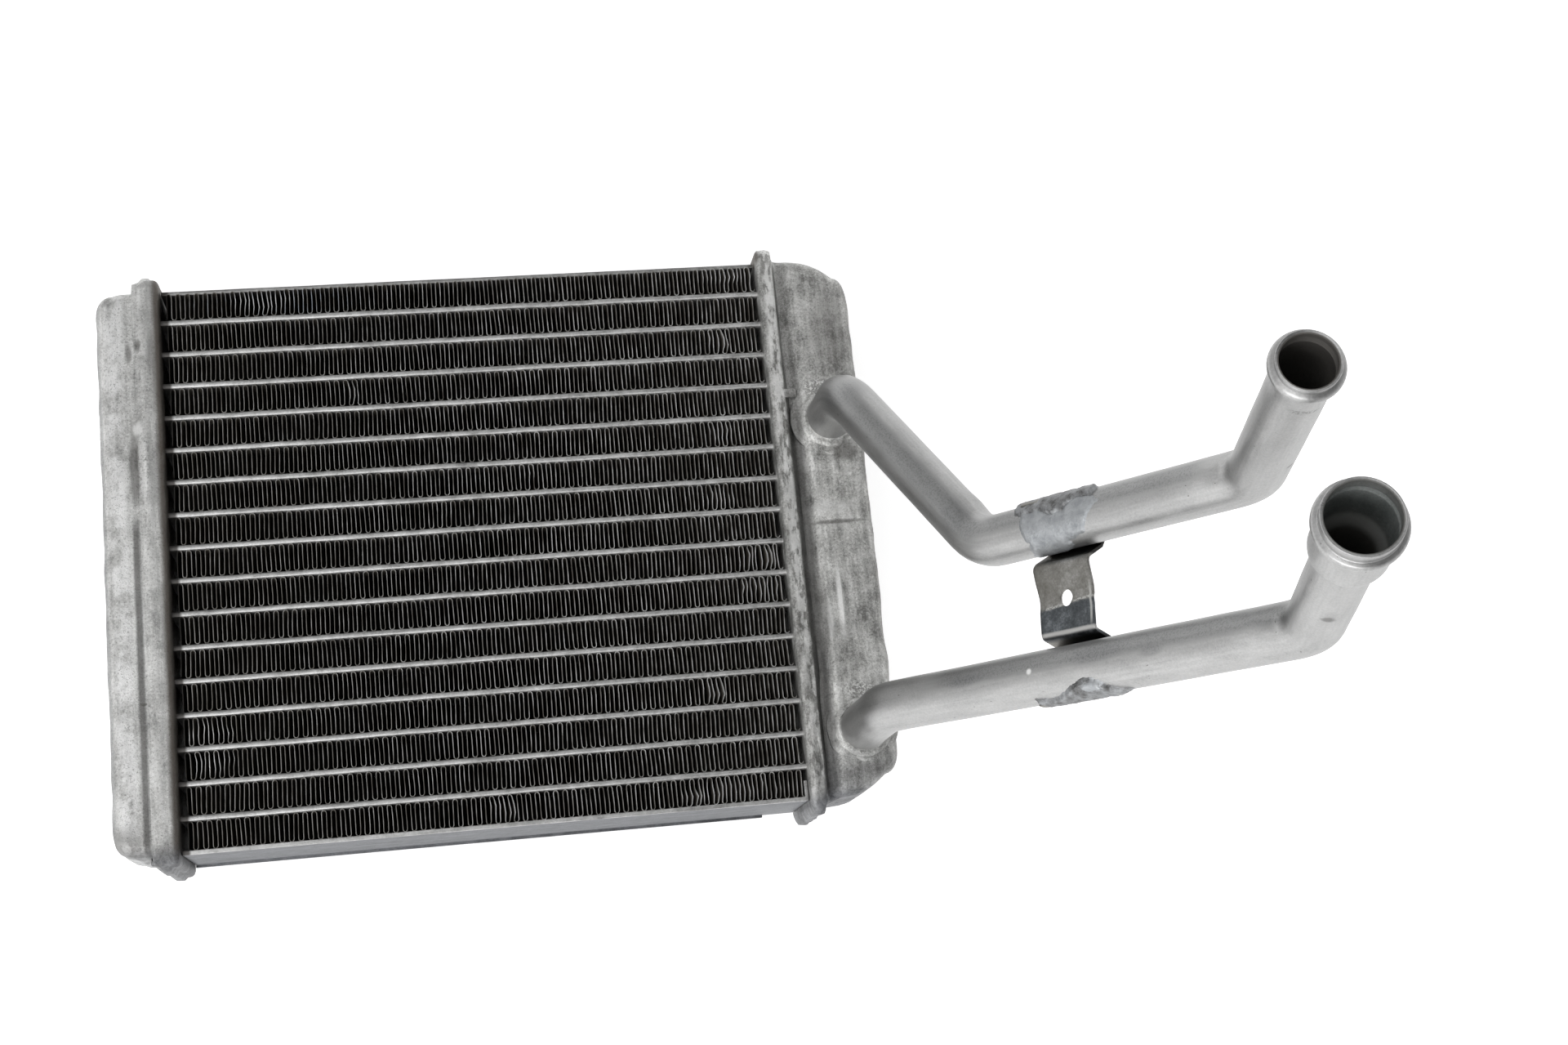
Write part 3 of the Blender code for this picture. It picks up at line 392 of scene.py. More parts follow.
def tank_finish():
    """Rolled sheet after brazing: cloudy greys, white flux stains and fine grain, with painted
    light and shade.
    """
    material, shader, place = new_finish("brazed_tank_sheet")
    clouds = place.clouds(0.11, 4.0, 0.6)
    streaks = place.scaled(0.5, 0.05, 0.5).clouds(0.9, 3.0, 0.6)
    grain = place.clouds(1.1, 4.0, 0.75)
    mix = clouds * 0.40 + streaks * 0.30 + grain * 0.30
    tone = mix.ramp([(0.39, (0.20, 0.20, 0.192)), (0.46, (0.38, 0.38, 0.368)),
                     (0.53, (0.58, 0.58, 0.565)), (0.60, (0.78, 0.78, 0.765))])
    x = place.part("X")
    # Painted light: the left tray and tank are paler overall, standing in for the stronger light
    # on the left.
    tone = (x.rise(1.0, -1.0) * 0.8).over(tone, mix.ramp([(0.39, (0.38, 0.38, 0.375)),
                                                          (0.50, (0.66, 0.66, 0.65)),
                                                          (0.60, (0.86, 0.86, 0.85))]))
    # Painted highlight: a pale band down the left tank's front, broken up by the clouds.
    painted_highlight_band = x.near(-15.3, 4.2) * clouds.rise(0.40, 0.56)
    tone = (painted_highlight_band * 0.6).over(tone, (0.93, 0.93, 0.93))
    # Painted shade: the left tank's outer rounded edge darker.
    tone = (x.rise(-18.9, -20.6) * 0.55).over(tone, (0.22, 0.225, 0.235))
    flux = place.scaled(1, 0.6, 1).clouds(0.30, 5.0, 0.7).rise(0.53, 0.66)
    tone = (flux * 0.6).over(tone, (0.62, 0.62, 0.61))
    pepper = place.clouds(1.5, 4.0, 0.8)
    tone = (pepper.rise(0.53, 0.66) * 0.6).over(tone, (0.12, 0.115, 0.11))
    tone = (pepper.rise(0.45, 0.33) * 0.5).over(tone, (0.85, 0.85, 0.84))
    at_left = x.rise(60.0, 40.0)
    tray = x.rise(-6.6, -3.6) * at_left
    tone = (tray * streaks.rise(0.40, 0.55) * 0.5).over(tone, (0.27, 0.27, 0.265))
    edge = x.rise(-3.2, -0.9) * at_left
    browned = edge + place.spot((CORE_WIDTH + 0.2, 191.0, -2.0), (1.8, 6.0, 12.0))
    tone = (browned * 0.85).over(tone, (0.075, 0.06, 0.047))
    y = place.part("Y")
    front = place.part("Z").rise(-14.0, -4.0)
    # Painted shade: dark in the right tank's valley, more so lower down, and in the left tank's
    # groove low on its front.
    lower = y.rise(150.0, 115.0) * 0.45 + 0.32
    valley = x.near(CORE_WIDTH + 7.8, 4.0) * front * lower
    groove_shade = x.near(-10.0, 1.6) * y.rise(112.0, 104.0) * front * 0.7
    tone = (valley + groove_shade).limit().over(tone, (0.065, 0.063, 0.06))
    # Mostly painted shade: the dark spots, and a dark line down the right tank's outer edge.
    soot_and_shade = place.spots(SOOT_AND_SHADE_SPOTS) + x.near(CORE_WIDTH + 31.8, 2.0) * 0.6
    tone = (soot_and_shade.limit() * 0.6).over(tone, (0.10, 0.095, 0.088))
    # Pale over all: painted highlights on raised lumps and ridges, pale blotches along the right
    # rim and pale grains in the scales.
    ridge = place.spot((-6.8, 127.5, 4.0), (2.2, 17.0, 5.0)) * grain.rise(0.38, 0.52)
    ridge = ridge + place.spots(RIDGE_HIGHLIGHT_SPOTS)
    blotches = place.scaled(1.0, 0.35, 1.0).clouds(0.45, 4.0, 0.65)
    pale = blotches.rise(0.40, 0.56) * (0.35 + 0.55 * y.rise(35.0, 75.0))
    ridge = ridge + x.near(CORE_WIDTH + 3.6, 2.6) * front * pale
    dark = x.near(CORE_WIDTH + 3.0, 4.0) * front * blotches.rise(0.50, 0.38)
    tone = (dark * 0.5).over(tone, (0.10, 0.095, 0.088))
    scales = place.spots(SCALE_SPOTS)
    grit = place.clouds(1.3, 2.0, 0.6, 0.6)
    tone = (scales * grit.rise(0.54, 0.44) * 0.5).limit().over(tone, (0.16, 0.155, 0.15))
    ridge = ridge + scales * grit.rise(0.50, 0.60)
    tone = (ridge.limit() * 0.8).over(tone, (0.86, 0.86, 0.85))
    # Painted shade: the bottom ends of the trays and tanks dark and bluish, and the right tank's
    # lower corner darker.
    right_bottom_shade = x.rise(CORE_WIDTH, CORE_WIDTH + 8.0) * y.rise(24.0, -1.0)
    bottom_shade = y.rise(3.5, -3.5) * 0.85 + right_bottom_shade * 0.45
    tone = bottom_shade.limit().over(tone, mix.ramp([(0.40, (0.06, 0.062, 0.068)),
                                             (0.60, (0.22, 0.225, 0.235))]))
    wire(shader, Base_Color=tone, Roughness=0.40 + 0.20 * grain + 0.2 * flux,
         Metallic=0.85 - 0.4 * flux,
         Normal=relief(grain * 0.5 + pepper * 0.5 + clouds * 1.4 + scales * grit * 2.0, 0.5, 0.7))
    return material


def braze_finish(name, dark, light):
    """Lumpy filler metal that has run and frozen."""
    material, shader, place = new_finish(name)
    lumps = place.clouds(0.30, 4.0, 0.6)
    grain = place.clouds(1.8, 3.0, 0.7)
    mix = lumps * 0.75 + grain * 0.25
    tone = mix.ramp([(0.35, dark), (0.62, light)])
    wire(shader, Base_Color=tone, Roughness=0.38 + 0.3 * grain, Metallic=0.8,
         Normal=relief(lumps + grain * 0.5, 0.6, 0.5))
    return material


def fin_finish():
    """Thin fin sheet: near black with dust inside, grey on its thin front edges and where bent,
    with a painted shadow next to the left tray.
    """
    material, shader, place = new_finish("dusty_fin_sheet")
    fold = place.scaled(1 / FIN_WALL_PITCH, 1 / TUBE_PITCH, 0.02).clouds(0.9, 2.0, 0.7)
    dust = place.clouds(0.16, 3.0, 0.6)
    depth = place.part("Z")
    x = place.part("X")
    front = depth.rise(-FIN_SETBACK - 1.3, -FIN_SETBACK - 0.2)
    louvres = place.scaled(0.0, 0.0, 1.0).node("ShaderNodeTexWave", {"bands_direction": "Z"},
                                               {"Scale": 0.3})
    inner = (fold * 0.5 + dust * 0.5).ramp([(0.35, (0.075, 0.066, 0.055)),
                                            (0.65, (0.190, 0.176, 0.152))])
    worn = (fold * 0.7 + dust * 0.3).ramp([(0.36, (0.15, 0.14, 0.125)),
                                           (0.48, (0.34, 0.335, 0.315)),
                                           (0.60, (0.72, 0.72, 0.71))])
    worn = (x.rise(120.0, 10.0) * 0.55).over(worn, (0.16, 0.15, 0.135))
    bent = place.stored("bent")
    tone = (front * 0.9).over(inner, worn)
    bluish = place.spot((40.0, 183.0, 0.0), (38.0, 6.0, 9.0)) * fold.rise(0.42, 0.55)
    tone = (bluish * front * 0.8).over(tone, (0.34, 0.38, 0.43))
    tone = (bent * front * 1.7).limit().over(tone, (0.86, 0.86, 0.85))
    # Painted shadow of the left tray over the first fin walls.
    tray_shadow_on_fins = x.rise(3.9, 2.9) * x.rise(-5.0, -1.0)
    tone = (tray_shadow_on_fins * 0.9).over(tone, (0.018, 0.016, 0.014))
    wire(shader, Base_Color=tone, Roughness=0.62 - 0.25 * bent, Metallic=0.25 + 0.5 * front,
         Normal=relief(louvres, 0.5, 0.3))
    return material


def tube_finish():
    """Flat tube: pale satin noses, with stains, a painted shadow of the left tray at their start,
    and painted shade under the bottom plate.
    """
    material, shader, place = new_finish("flat_tube_sheet")
    streaks = place.scaled(0.05, 1.0, 1.0).clouds(0.9, 3.0, 0.6)
    stains = place.clouds(0.22, 4.0, 0.65)
    grain = place.clouds(1.3, 3.0, 0.7)
    mix = streaks * 0.35 + stains * 0.4 + grain * 0.25
    tone = mix.ramp([(0.36, (0.27, 0.27, 0.265)), (0.47, (0.45, 0.45, 0.444)),
                     (0.60, (0.64, 0.64, 0.635))])
    x = place.part("X")
    y = place.part("Y")
    # Painted shadow of the left tray over the tubes' first millimetres.
    start = x.rise(3.4, 2.2) * x.rise(-4.0, -1.0)
    tone = (start * 0.88).over(tone, (0.045, 0.04, 0.036))
    deep = place.part("Z").rise(-0.9, -3.0)
    # Painted shade: the bottom plate's underside dark and bluish.
    underside_shade = y.rise(-0.5, -1.0) * place.part("Z").rise(-0.3, -1.0)
    tone = (deep * y.rise(0.4, 1.4) * 0.75).over(tone, (0.10, 0.095, 0.09))
    tone = underside_shade.over(tone, mix.ramp([(0.38, (0.10, 0.104, 0.112)),
                                          (0.60, (0.23, 0.237, 0.25))]))
    wire(shader, Base_Color=tone, Roughness=0.34 + 0.25 * stains, Metallic=0.8,
         Normal=relief(stains + grain * 0.3, 0.3, 0.4))
    return material


def shade_and_oxide_bands(place):
    """Mask of painted shade: 1 on the side of both runs that faces away from the light, and on the
    dog-leg's left side.
    """
    origin, across, outward, spacing = strap_axes()
    height = place.along(across, origin)
    station = place.along(RUN, origin)
    runs = height.near(3.6, 4.6) * station.rise(-24.0, -8.0) * station.rise(134.0, 122.0)
    upper = height.near(spacing + 3.2, 4.4) * station.rise(-2.0, 12.0) * station.rise(94.0, 84.0)
    knee = upper_route()[2]
    aside = DOG_LEG.cross(heading(0, 90)).normalized() * -1
    left = place.along(aside, knee).near(-3.4, 4.6)
    length = place.along(DOG_LEG, knee)
    leg = left * length.rise(6.0, -4.0) * length.rise(-84.0, -66.0) * station.rise(30.0, 10.0)
    return (runs + upper + leg).limit()


def pipe_finish():
    """Drawn tube: satin, with fine streaks along the pipe, handling marks and small nicks, and
    painted shade and highlights.
    """
    material, shader, place = new_finish("drawn_pipe")
    drawn = place.stored("drawn", 1)
    bore = place.stored("bore")
    streaks = drawn.scaled(1.0, 1.0, 0.03).clouds(0.8, 4.0, 0.65)
    marks = drawn.scaled(1.0, 1.0, 0.35).clouds(0.16, 4.0, 0.65)
    grain = place.clouds(1.6, 3.0, 0.7)
    mix = streaks * 0.25 + marks * 0.40 + grain * 0.35
    tone = mix.ramp([(0.34, (0.31, 0.31, 0.31)), (0.46, (0.405, 0.405, 0.403)),
                     (0.58, (0.48, 0.48, 0.477)), (0.70, (0.56, 0.56, 0.555))])
    nicks = drawn.scaled(1.0, 1.0, 0.6).clouds(0.75, 2.0, 0.5).rise(0.735, 0.77)
    tone = (nicks * 0.7).over(tone, (0.12, 0.115, 0.11))
    speckle = grain.rise(0.46, 0.60)
    # Painted shade on the sides away from the light, partly dull oxide, mottled by the speckle.
    tone = (shade_and_oxide_bands(place) * (0.38 + 0.30 * speckle)).over(tone, (0.15, 0.155, 0.155))
    stains = place.spots(STAIN_SPOTS) * (0.25 + 0.3 * speckle)
    tone = stains.limit().over(tone, (0.17, 0.175, 0.18))
    dirt = place.spot((298.0, 59.7, 230.2), (6.0, 3.5, 1.6)) * speckle
    dirt = dirt + place.spots(DIRT_SPOTS)
    tone = (dirt.limit() * 0.85).over(tone, (0.10, 0.098, 0.093))
    bright = place.spot((254.9, 20.0, 106.5), (1.3, 1.3, 1.3))
    tone = bright.over(tone, (0.86, 0.86, 0.85))
    mouth = lower_route()[3]
    cup = place.spot(tuple(mouth - LOWER_NIPPLE * 12.0), (19.0, 19.0, 18.0))
    inside = bore.rise(0.35, 0.8)
    lining = (grain * 0.5 + marks * 0.5).ramp([(0.35, (0.20, 0.225, 0.22)),
                                               (0.65, (0.42, 0.445, 0.44))])
    below = place.along(LOWER_NIPPLE, mouth)
    # Painted highlight: a pale ring on the cup's inner shoulder.
    lining = (below.near(-22.6, 3.2) * 0.7).over(lining, (0.62, 0.63, 0.62))
    # Painted shade deep inside the bores, beyond the lower cup's lining.
    lining_and_bore_shade = (cup * below.rise(-27.0, -25.4)).over((0.115, 0.109, 0.101), lining)
    tone = inside.over(tone, lining_and_bore_shade)
    wire(shader, Base_Color=tone,
         Roughness=0.29 + 0.20 * marks + 0.06 * streaks + 0.25 * inside,
         Metallic=0.92 - 0.5 * inside,
         Normal=relief(streaks * 0.5 + marks + grain * 0.15, 0.22, 0.5))
    return material


def strap_finish():
    """Folded sheet: brownish satin above its crease, blued below it, with a painted highlight
    along the lower fold and painted shade on its shelves.
    """
    material, shader, place = new_finish("folded_strap_sheet")
    origin, across, outward, spacing = strap_axes()
    height = place.along(across, origin)
    station = place.along(RUN, origin) - STRAP_STATION
    clouds = place.clouds(0.22, 4.0, 0.6)
    grain = place.clouds(1.4, 4.0, 0.7)
    mix = clouds * 0.6 + grain * 0.4
    tone = mix.ramp([(0.34, (0.15, 0.145, 0.13)), (0.50, (0.25, 0.245, 0.23)),
                     (0.64, (0.38, 0.375, 0.36))])
    crease = height - station * 0.06 - (spacing / 2 - STRAP_CREASE_DROP)
    ragged = crease + 2.4 * clouds - 1.2
    blued = mix.ramp([(0.36, (0.045, 0.052, 0.058)), (0.52, (0.085, 0.095, 0.105)),
                      (0.68, (0.22, 0.24, 0.26))])
    dull = station.rise(2.0, -9.0) * crease.rise(2.0, 7.0)
    tone = (dull * 0.5).over(tone, (0.12, 0.115, 0.10))
    tone = (ragged.rise(0.7, -0.8) * 0.92).over(tone, blued)
    scratch = crease.near(0.1, 0.55) * station.rise(0.0, -2.0) * station.rise(-9.6, -7.0)
    scratch = scratch + crease.near(0.35, 0.5) * station.rise(1.5, 4.0)
    scratch = scratch * grain.rise(0.38, 0.55)
    scratch = scratch + station.near(9.3, 0.6) * crease.rise(-9.0, -5.0) * crease.rise(6.0, 1.0)
    tone = (scratch.limit() * 0.7).over(tone, (0.60, 0.60, 0.58))
    # Painted highlight along the lower fold.
    fold = height.near(PIPE_RADIUS + STRAP_FOLD_SHARE * (spacing - 2 * PIPE_RADIUS) + 0.5, 1.0)
    tone = (fold * 0.8).over(tone, (0.55, 0.545, 0.53))
    # Painted shade on the shelf under the upper run, darkening to black along it, and on the shelf
    # over the lower run.
    shelf = height.rise(spacing - 11.4, spacing - 10.2) * height.rise(spacing + 6.0, spacing)
    shade = (station * 0.05 + 0.5 + 0.3 * clouds).ramp([(0.2, (0.10, 0.09, 0.075)),
                                                        (0.9, (0.012, 0.012, 0.012))])
    tone = (shelf * 0.9).over(tone, shade)
    under = height.rise(11.0, 10.4)
    shade = (station * 0.05 + 0.5).ramp([(0.1, (0.22, 0.21, 0.19)), (0.8, (0.03, 0.03, 0.03))])
    tone = (under * 0.9).over(tone, shade)
    wire(shader, Base_Color=tone, Roughness=0.30 + 0.22 * clouds, Metallic=0.9,
         Normal=relief(clouds + grain * 0.35, 0.3, 0.5))
    return material


# Shaping tools

X, Y, Z = range(3)


def limited(share):
    return min(1.0, max(0.0, share))


def smooth(share):
    return 0.5 - 0.5 * math.cos(math.pi * limited(share))


def only(piece):
    bpy.ops.object.select_all(action='DESELECT')
    piece.select_set(True)
    bpy.context.view_layer.objects.active = piece


def fresh(name):
    """Names the primitive that was just added and puts its place into its mesh."""
    piece = bpy.context.active_object
    piece.name = name
    piece.data.name = name
    bpy.ops.object.transform_apply(location=True, rotation=True, scale=True)
    return piece


def start_edit(piece, everything=False):
    only(piece)
    bpy.ops.object.mode_set(mode='EDIT')
    bpy.ops.mesh.select_mode(type='VERT')
    bpy.ops.mesh.select_all(action='SELECT' if everything else 'DESELECT')


def stop_edit():
    bpy.ops.object.mode_set(mode='OBJECT')


def pick(piece, kind, test):
    """Selects in edit mode the verts, edges or faces that pass the test, and nothing else."""
    mesh = bmesh.from_edit_mesh(piece.data)
    bpy.ops.mesh.select_mode(type=kind)
    bpy.ops.mesh.select_all(action='DESELECT')
    items = {'VERT': mesh.verts, 'EDGE': mesh.edges, 'FACE': mesh.faces}[kind]
    for item in items:
        if test(item):
            item.select_set(True)
    bmesh.update_edit_mesh(piece.data)


def draw_on(step, scale=(1, 1, 1), centre=(0, 0, 0)):
    """Extrudes what is selected by a step and scales its new end about a centre."""
    bpy.ops.mesh.extrude_region_move(
        TRANSFORM_OT_translate={"value": tuple(step), "orient_type": 'GLOBAL'})
    if scale != (1, 1, 1):
        bpy.ops.transform.resize(value=scale, center_override=tuple(centre),
                                 orient_type='GLOBAL')


def cut_across(axis, place):
    """Cuts the whole mesh that is being edited at a place on an axis."""
    point, normal = [0, 0, 0], [0, 0, 0]
    point[axis] = place
    normal[axis] = 1
    bpy.ops.mesh.select_all(action='SELECT')
    bpy.ops.mesh.bisect(plane_co=point, plane_no=normal)


def score(piece, axis, start, stop, spacing):
    """Cuts lines across the whole mesh between two places on an axis, so that it can be dented."""
    count = max(2, round((stop - start) / spacing))
    start_edit(piece)
    for index in range(1, count):
        cut_across(axis, start + (stop - start) * index / count)
    stop_edit()


def press(piece, centre, reach, push):
    """Pushes the surface about a centre by a vector, fading out at the reach along each axis."""
    centre = Vector(centre)
    push = Vector(push)
    for vert in piece.data.vertices:
        offset = vert.co - centre
        share = 1 - sum((part / size) ** 2 for part, size in zip(offset, reach))
        if share > 0:
            vert.co += push * share * share


def dent_front(piece, place_x, front, dents):
    """Presses a table of dents and lumps into a front face."""
    for reach_x, y, reach, height in dents:
        press(piece, (place_x(reach_x), y, front), reach, (0, 0, height))


def roughen(piece, height, grain, seed, where=None):
    """Uneven surface: moves each point along its normal by smooth noise."""
    normals = [vert.normal.copy() for vert in piece.data.vertices]
    for vert, normal in zip(piece.data.vertices, normals):
        share = 1.0 if where is None else where(vert.co)
        lump = noise.noise(vert.co / grain + Vector((seed, seed * 0.7, -seed)))
        vert.co += normal * lump * height * share


def modify(piece, kind, **settings):
    only(piece)
    modifier = piece.modifiers.new(kind.title(), kind)
    for name, value in settings.items():
        setattr(modifier, name, value)
    bpy.ops.object.modifier_apply(modifier=modifier.name)


def wall(piece, thickness, offset=-1.0):
    modify(piece, 'SOLIDIFY', thickness=thickness, offset=offset, use_even_offset=False)


def soften_edges(piece, width, segments=2, angle=50):
    modify(piece, 'BEVEL', width=width, segments=segments, limit_method='ANGLE',
           angle_limit=math.radians(angle), use_clamp_overlap=True)


def drill(piece, sides, radius, depth, place, turn=(0, 0, 0)):
    """Round hole through a piece."""
    bpy.ops.mesh.primitive_cylinder_add(vertices=sides, radius=radius, depth=depth,
                                        location=place, rotation=turn)
    bit = bpy.context.active_object
    modify(piece, 'BOOLEAN', operation='DIFFERENCE', solver='EXACT', object=bit)
    bpy.data.objects.remove(bit, do_unlink=True)


def copy_of(pattern, name):
    piece = pattern.copy()
    piece.data = pattern.data.copy()
    piece.name = name
    bpy.context.collection.objects.link(piece)
    return piece


def store(piece, name, values, kind='FLOAT', field="value"):
    """Keeps values on the points of a mesh for its finish to read."""
    layer = piece.data.attributes.new(name, kind, 'POINT')
    layer.data.foreach_set(field, values)


def face_outwards(piece):
    start_edit(piece, everything=True)
    bpy.ops.mesh.remove_doubles(threshold=0.001)
    bpy.ops.mesh.normals_make_consistent(inside=False)
    stop_edit()


def settle(piece, material, slot, *nodes):
    """Smooth shading, finish and place in the part's frame; the piece stands for its nodes."""
    only(piece)
    bpy.ops.object.shade_smooth_by_angle(angle=math.radians(38))
    piece.data.transform(Matrix.Translation(CORE_ORIGIN) @ Matrix.Scale(MM, 4))
    low, high = cad_box
    for vert in piece.data.vertices:
        vert.co = [min(max(part, least), most) for part, least, most in zip(vert.co, low, high)]
    piece.data.materials.clear()
    piece.data.materials.append(material)
    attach(piece, "root")
    if nodes:
        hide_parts(*nodes)


# Header trays and tanks


def left_of_core(reach):
    return -reach


def right_of_core(reach):
    return CORE_WIDTH + reach


def draw_shell(name, sections, corner, place_x):
    """Closed skin through sections of (reach from the core, half height, half depth)."""
    reach, half_y, half_z = sections[0]
    centre = (place_x(reach), MIDDLE_Y, MIDDLE_Z)
    bpy.ops.mesh.primitive_plane_add(size=2, location=centre, rotation=(0, math.pi / 2, 0))
    piece = fresh(name)
    start_edit(piece, everything=True)
    bpy.ops.transform.resize(value=(1, half_y, half_z), center_override=centre,
                             orient_type='GLOBAL')
    bpy.ops.mesh.bevel(offset=corner, segments=6, affect='VERTICES')
    bpy.ops.mesh.select_all(action='SELECT')
    for following, next_y, next_z in sections[1:]:
        step = place_x(following) - place_x(reach)
        draw_on((step, 0, 0), (1, next_y / half_y, next_z / half_z), centre)
        reach, half_y, half_z = following, next_y, next_z
    stop_edit()
    return piece


def open_end(piece, x):
    """Takes away the flat end of a shell at a place along x."""
    start_edit(piece)
    pick(piece, 'FACE', lambda face: all(abs(vert.co.x - x) < 0.01 for vert in face.verts))
    bpy.ops.mesh.delete(type='FACE')
    stop_edit()


def make_shell(name, sections, corner, place_x, open_reach, half_depth, spacing):
    """Skin that is open at one reach from the core, cut finely enough to be dented."""
    shell = draw_shell(name, sections, corner, place_x)
    open_end(shell, place_x(open_reach))
    score(shell, Y, MIDDLE_Y - TRAY_HALF_HEIGHT, MIDDLE_Y + TRAY_HALF_HEIGHT, spacing)
    score(shell, Z, MIDDLE_Z - half_depth, MIDDLE_Z + half_depth, SHELL_DEPTH_STEP)
    face_outwards(shell)
    return shell


def draw_in_left_ends(piece):
    """Draws in both outer ends of the left tray, or of the tank in it."""
    for end in (-1, 1):
        edge = MIDDLE_Y + end * TRAY_HALF_HEIGHT
        along, inwards = LEFT_END_PUSH
        press(piece, (-LEFT_RIM, edge, MIDDLE_Z), LEFT_END_REACH, (along, inwards * end, 0))


def tray_sections(rim, flush):
    """Outside of a tray; its rim bends in by flush at the open edge."""
    sections = []
    for step in range(5):
        turn = math.radians(90) * step / 4
        inset = TRAY_EDGE * (1 - math.sin(turn))
        sections.append((TRAY_EDGE * (1 - math.cos(turn)), TRAY_HALF_HEIGHT - inset,
                         TRAY_HALF_DEPTH - inset))
    rest = rim - TRAY_EDGE
    count = round(rest / 0.5)
    for step in range(1, count + 1):
        reach = TRAY_EDGE + rest * step / count
        bend = flush * smooth((reach - rim / 2) / (rim / 2))
        sections.append((reach, TRAY_HALF_HEIGHT - bend / 2, TRAY_HALF_DEPTH - bend))
    return sections


def raise_lugs(piece, centre_x, half_width):
    """Narrow rounded lug past each end of a tray."""
    for vert in piece.data.vertices:
        beyond = vert.co.y - MIDDLE_Y
        share = smooth((half_width - abs(vert.co.x - centre_x)) / 1.1 + 0.5)
        share *= smooth((abs(beyond) - TRAY_HALF_HEIGHT + 2.5) / 1.5)
        share *= smooth((TRAY_HALF_DEPTH - 1.5 - abs(vert.co.z - MIDDLE_Z)) / 4.5)
        vert.co.y += math.copysign(LUG_REACH * share, beyond)


def keep_above_floor(piece):
    """Nothing reaches under the plane that the core lies on."""
    for vert in piece.data.vertices:
        vert.co.z = max(vert.co.z, MIDDLE_Z - TRAY_HALF_DEPTH)


def make_left_tray():
    tray = make_shell("left_header_tray", tray_sections(LEFT_RIM, flush=1.1), TRAY_CORNER,
                      left_of_core, LEFT_RIM, TRAY_HALF_DEPTH, spacing=3.0)
    raise_lugs(tray, centre_x=-4.6, half_width=1.6)
    draw_in_left_ends(tray)
    roughen(tray, height=0.30, grain=8.0, seed=3.1)
    dent_front(tray, left_of_core, TRAY_FRONT, LEFT_TRAY_DENTS)
    wall(tray, TRAY_WALL)
    soften_edges(tray, 0.3)
    keep_above_floor(tray)
    return tray


def rim_wander(height):
    """Unevenness along x of the right tray's rim at a height."""
    broad = noise.noise(Vector((height / 7.0, 0.4, 8.8)))
    fine = noise.noise(Vector((height / 2.2, 3.4, 1.8)))
    return 0.8 * broad + 0.4 * fine


def make_right_tray():
    tray = make_shell("right_header_tray", tray_sections(RIGHT_RIM, flush=0.5), TRAY_CORNER,
                      right_of_core, RIGHT_RIM, TRAY_HALF_DEPTH, spacing=2.0)
    raise_lugs(tray, centre_x=CORE_WIDTH + 2.7, half_width=2.1)
    roughen(tray, height=0.85, grain=5.0, seed=7.7,
            where=lambda co: limited((co.x - CORE_WIDTH - 0.6) / 2))
    for vert in tray.data.vertices:
        outer = smooth((vert.co.x - CORE_WIDTH - 2.0) / 3)
        vert.co.x += outer * rim_wander(vert.co.y)
    wall(tray, TRAY_WALL)
    soften_edges(tray, 0.45, segments=3)
    keep_above_floor(tray)
    return tray


def make_clinch_tab():
    """Small tongue of the right tray, folded over the edge of its tank."""
    low = CORE_WIDTH + RIGHT_RIM - 1.2
    place = (low + CLINCH_TAB_SIZE[0] / 2, CLINCH_TAB_HEIGHT, TANK_FRONT + 0.2)
    bpy.ops.mesh.primitive_cube_add(size=1, location=place, scale=CLINCH_TAB_SIZE)
    tab = fresh("clinch_tab")
    start_edit(tab)
    pick(tab, 'FACE', lambda face: face.normal.x > 0.9)
    draw_on((1.2, 0, -0.5), (1, 0.8, 0.75), (low + 5.8, CLINCH_TAB_HEIGHT, TANK_FRONT - 0.1))
    stop_edit()
    soften_edges(tab, 0.4, segments=3)
    return tab


def tank_sections(rim, valley, body_start, end_reach, shoulder, edge, depth):
    """Outside of a tank, from its skirt in the tray over a valley and a shoulder to its cap."""
    skirt_y = TRAY_HALF_HEIGHT - TRAY_WALL - SEAT_GAP
    skirt_z = TRAY_HALF_DEPTH - TRAY_WALL - SEAT_GAP
    body_y = MIDDLE_Y + end_reach
    floor_z = skirt_z - valley[1]
    sections = [(TRAY_WALL + SEAT_GAP, skirt_y, skirt_z), (rim, skirt_y, skirt_z)]
    for step in range(1, TANK_BODY_STEPS + 1):
        share = step / TANK_BODY_STEPS
        reach = rim + (body_start - rim) * share
        half_z = skirt_z - valley[1] * smooth((reach - rim) / (valley[0] - rim))
        half_z += (TANK_HALF_DEPTH - floor_z) * smooth((reach - valley[0])
                                                       / (body_start - valley[0]))
        sections.append((reach, skirt_y + (body_y - skirt_y) * smooth(share), half_z))
    run = depth - edge - shoulder[0]
    for step in range(1, SHOULDER_STEPS + 1):
        share = step / SHOULDER_STEPS
        sections.append((shoulder[0] + run * share,
                         body_y - shoulder[1] * share ** SHOULDER_CURVE, TANK_HALF_DEPTH))
    for step in range(1, TANK_EDGE_STEPS + 1):
        turn = math.radians(90) * step / TANK_EDGE_STEPS
        inset = edge * (1 - math.cos(turn))
        sections.append((depth - edge * (1 - math.sin(turn)),
                         body_y - shoulder[1] - inset * shoulder[2], TANK_HALF_DEPTH - inset))
    return sections


def make_left_tank():
    tank = make_shell("left_tank_shell", tank_sections(**LEFT_TANK), TANK_CORNER, left_of_core,
                      TRAY_WALL + SEAT_GAP, TANK_HALF_DEPTH, spacing=2.5)
    draw_in_left_ends(tank)
    roughen(tank, height=0.45, grain=8.0, seed=12.0, where=lambda co: limited((-co.x - 9.0) / 3))
    dent_front(tank, left_of_core, TANK_FRONT, LEFT_TANK_DENTS)
    wall(tank, TANK_WALL)
    return tank


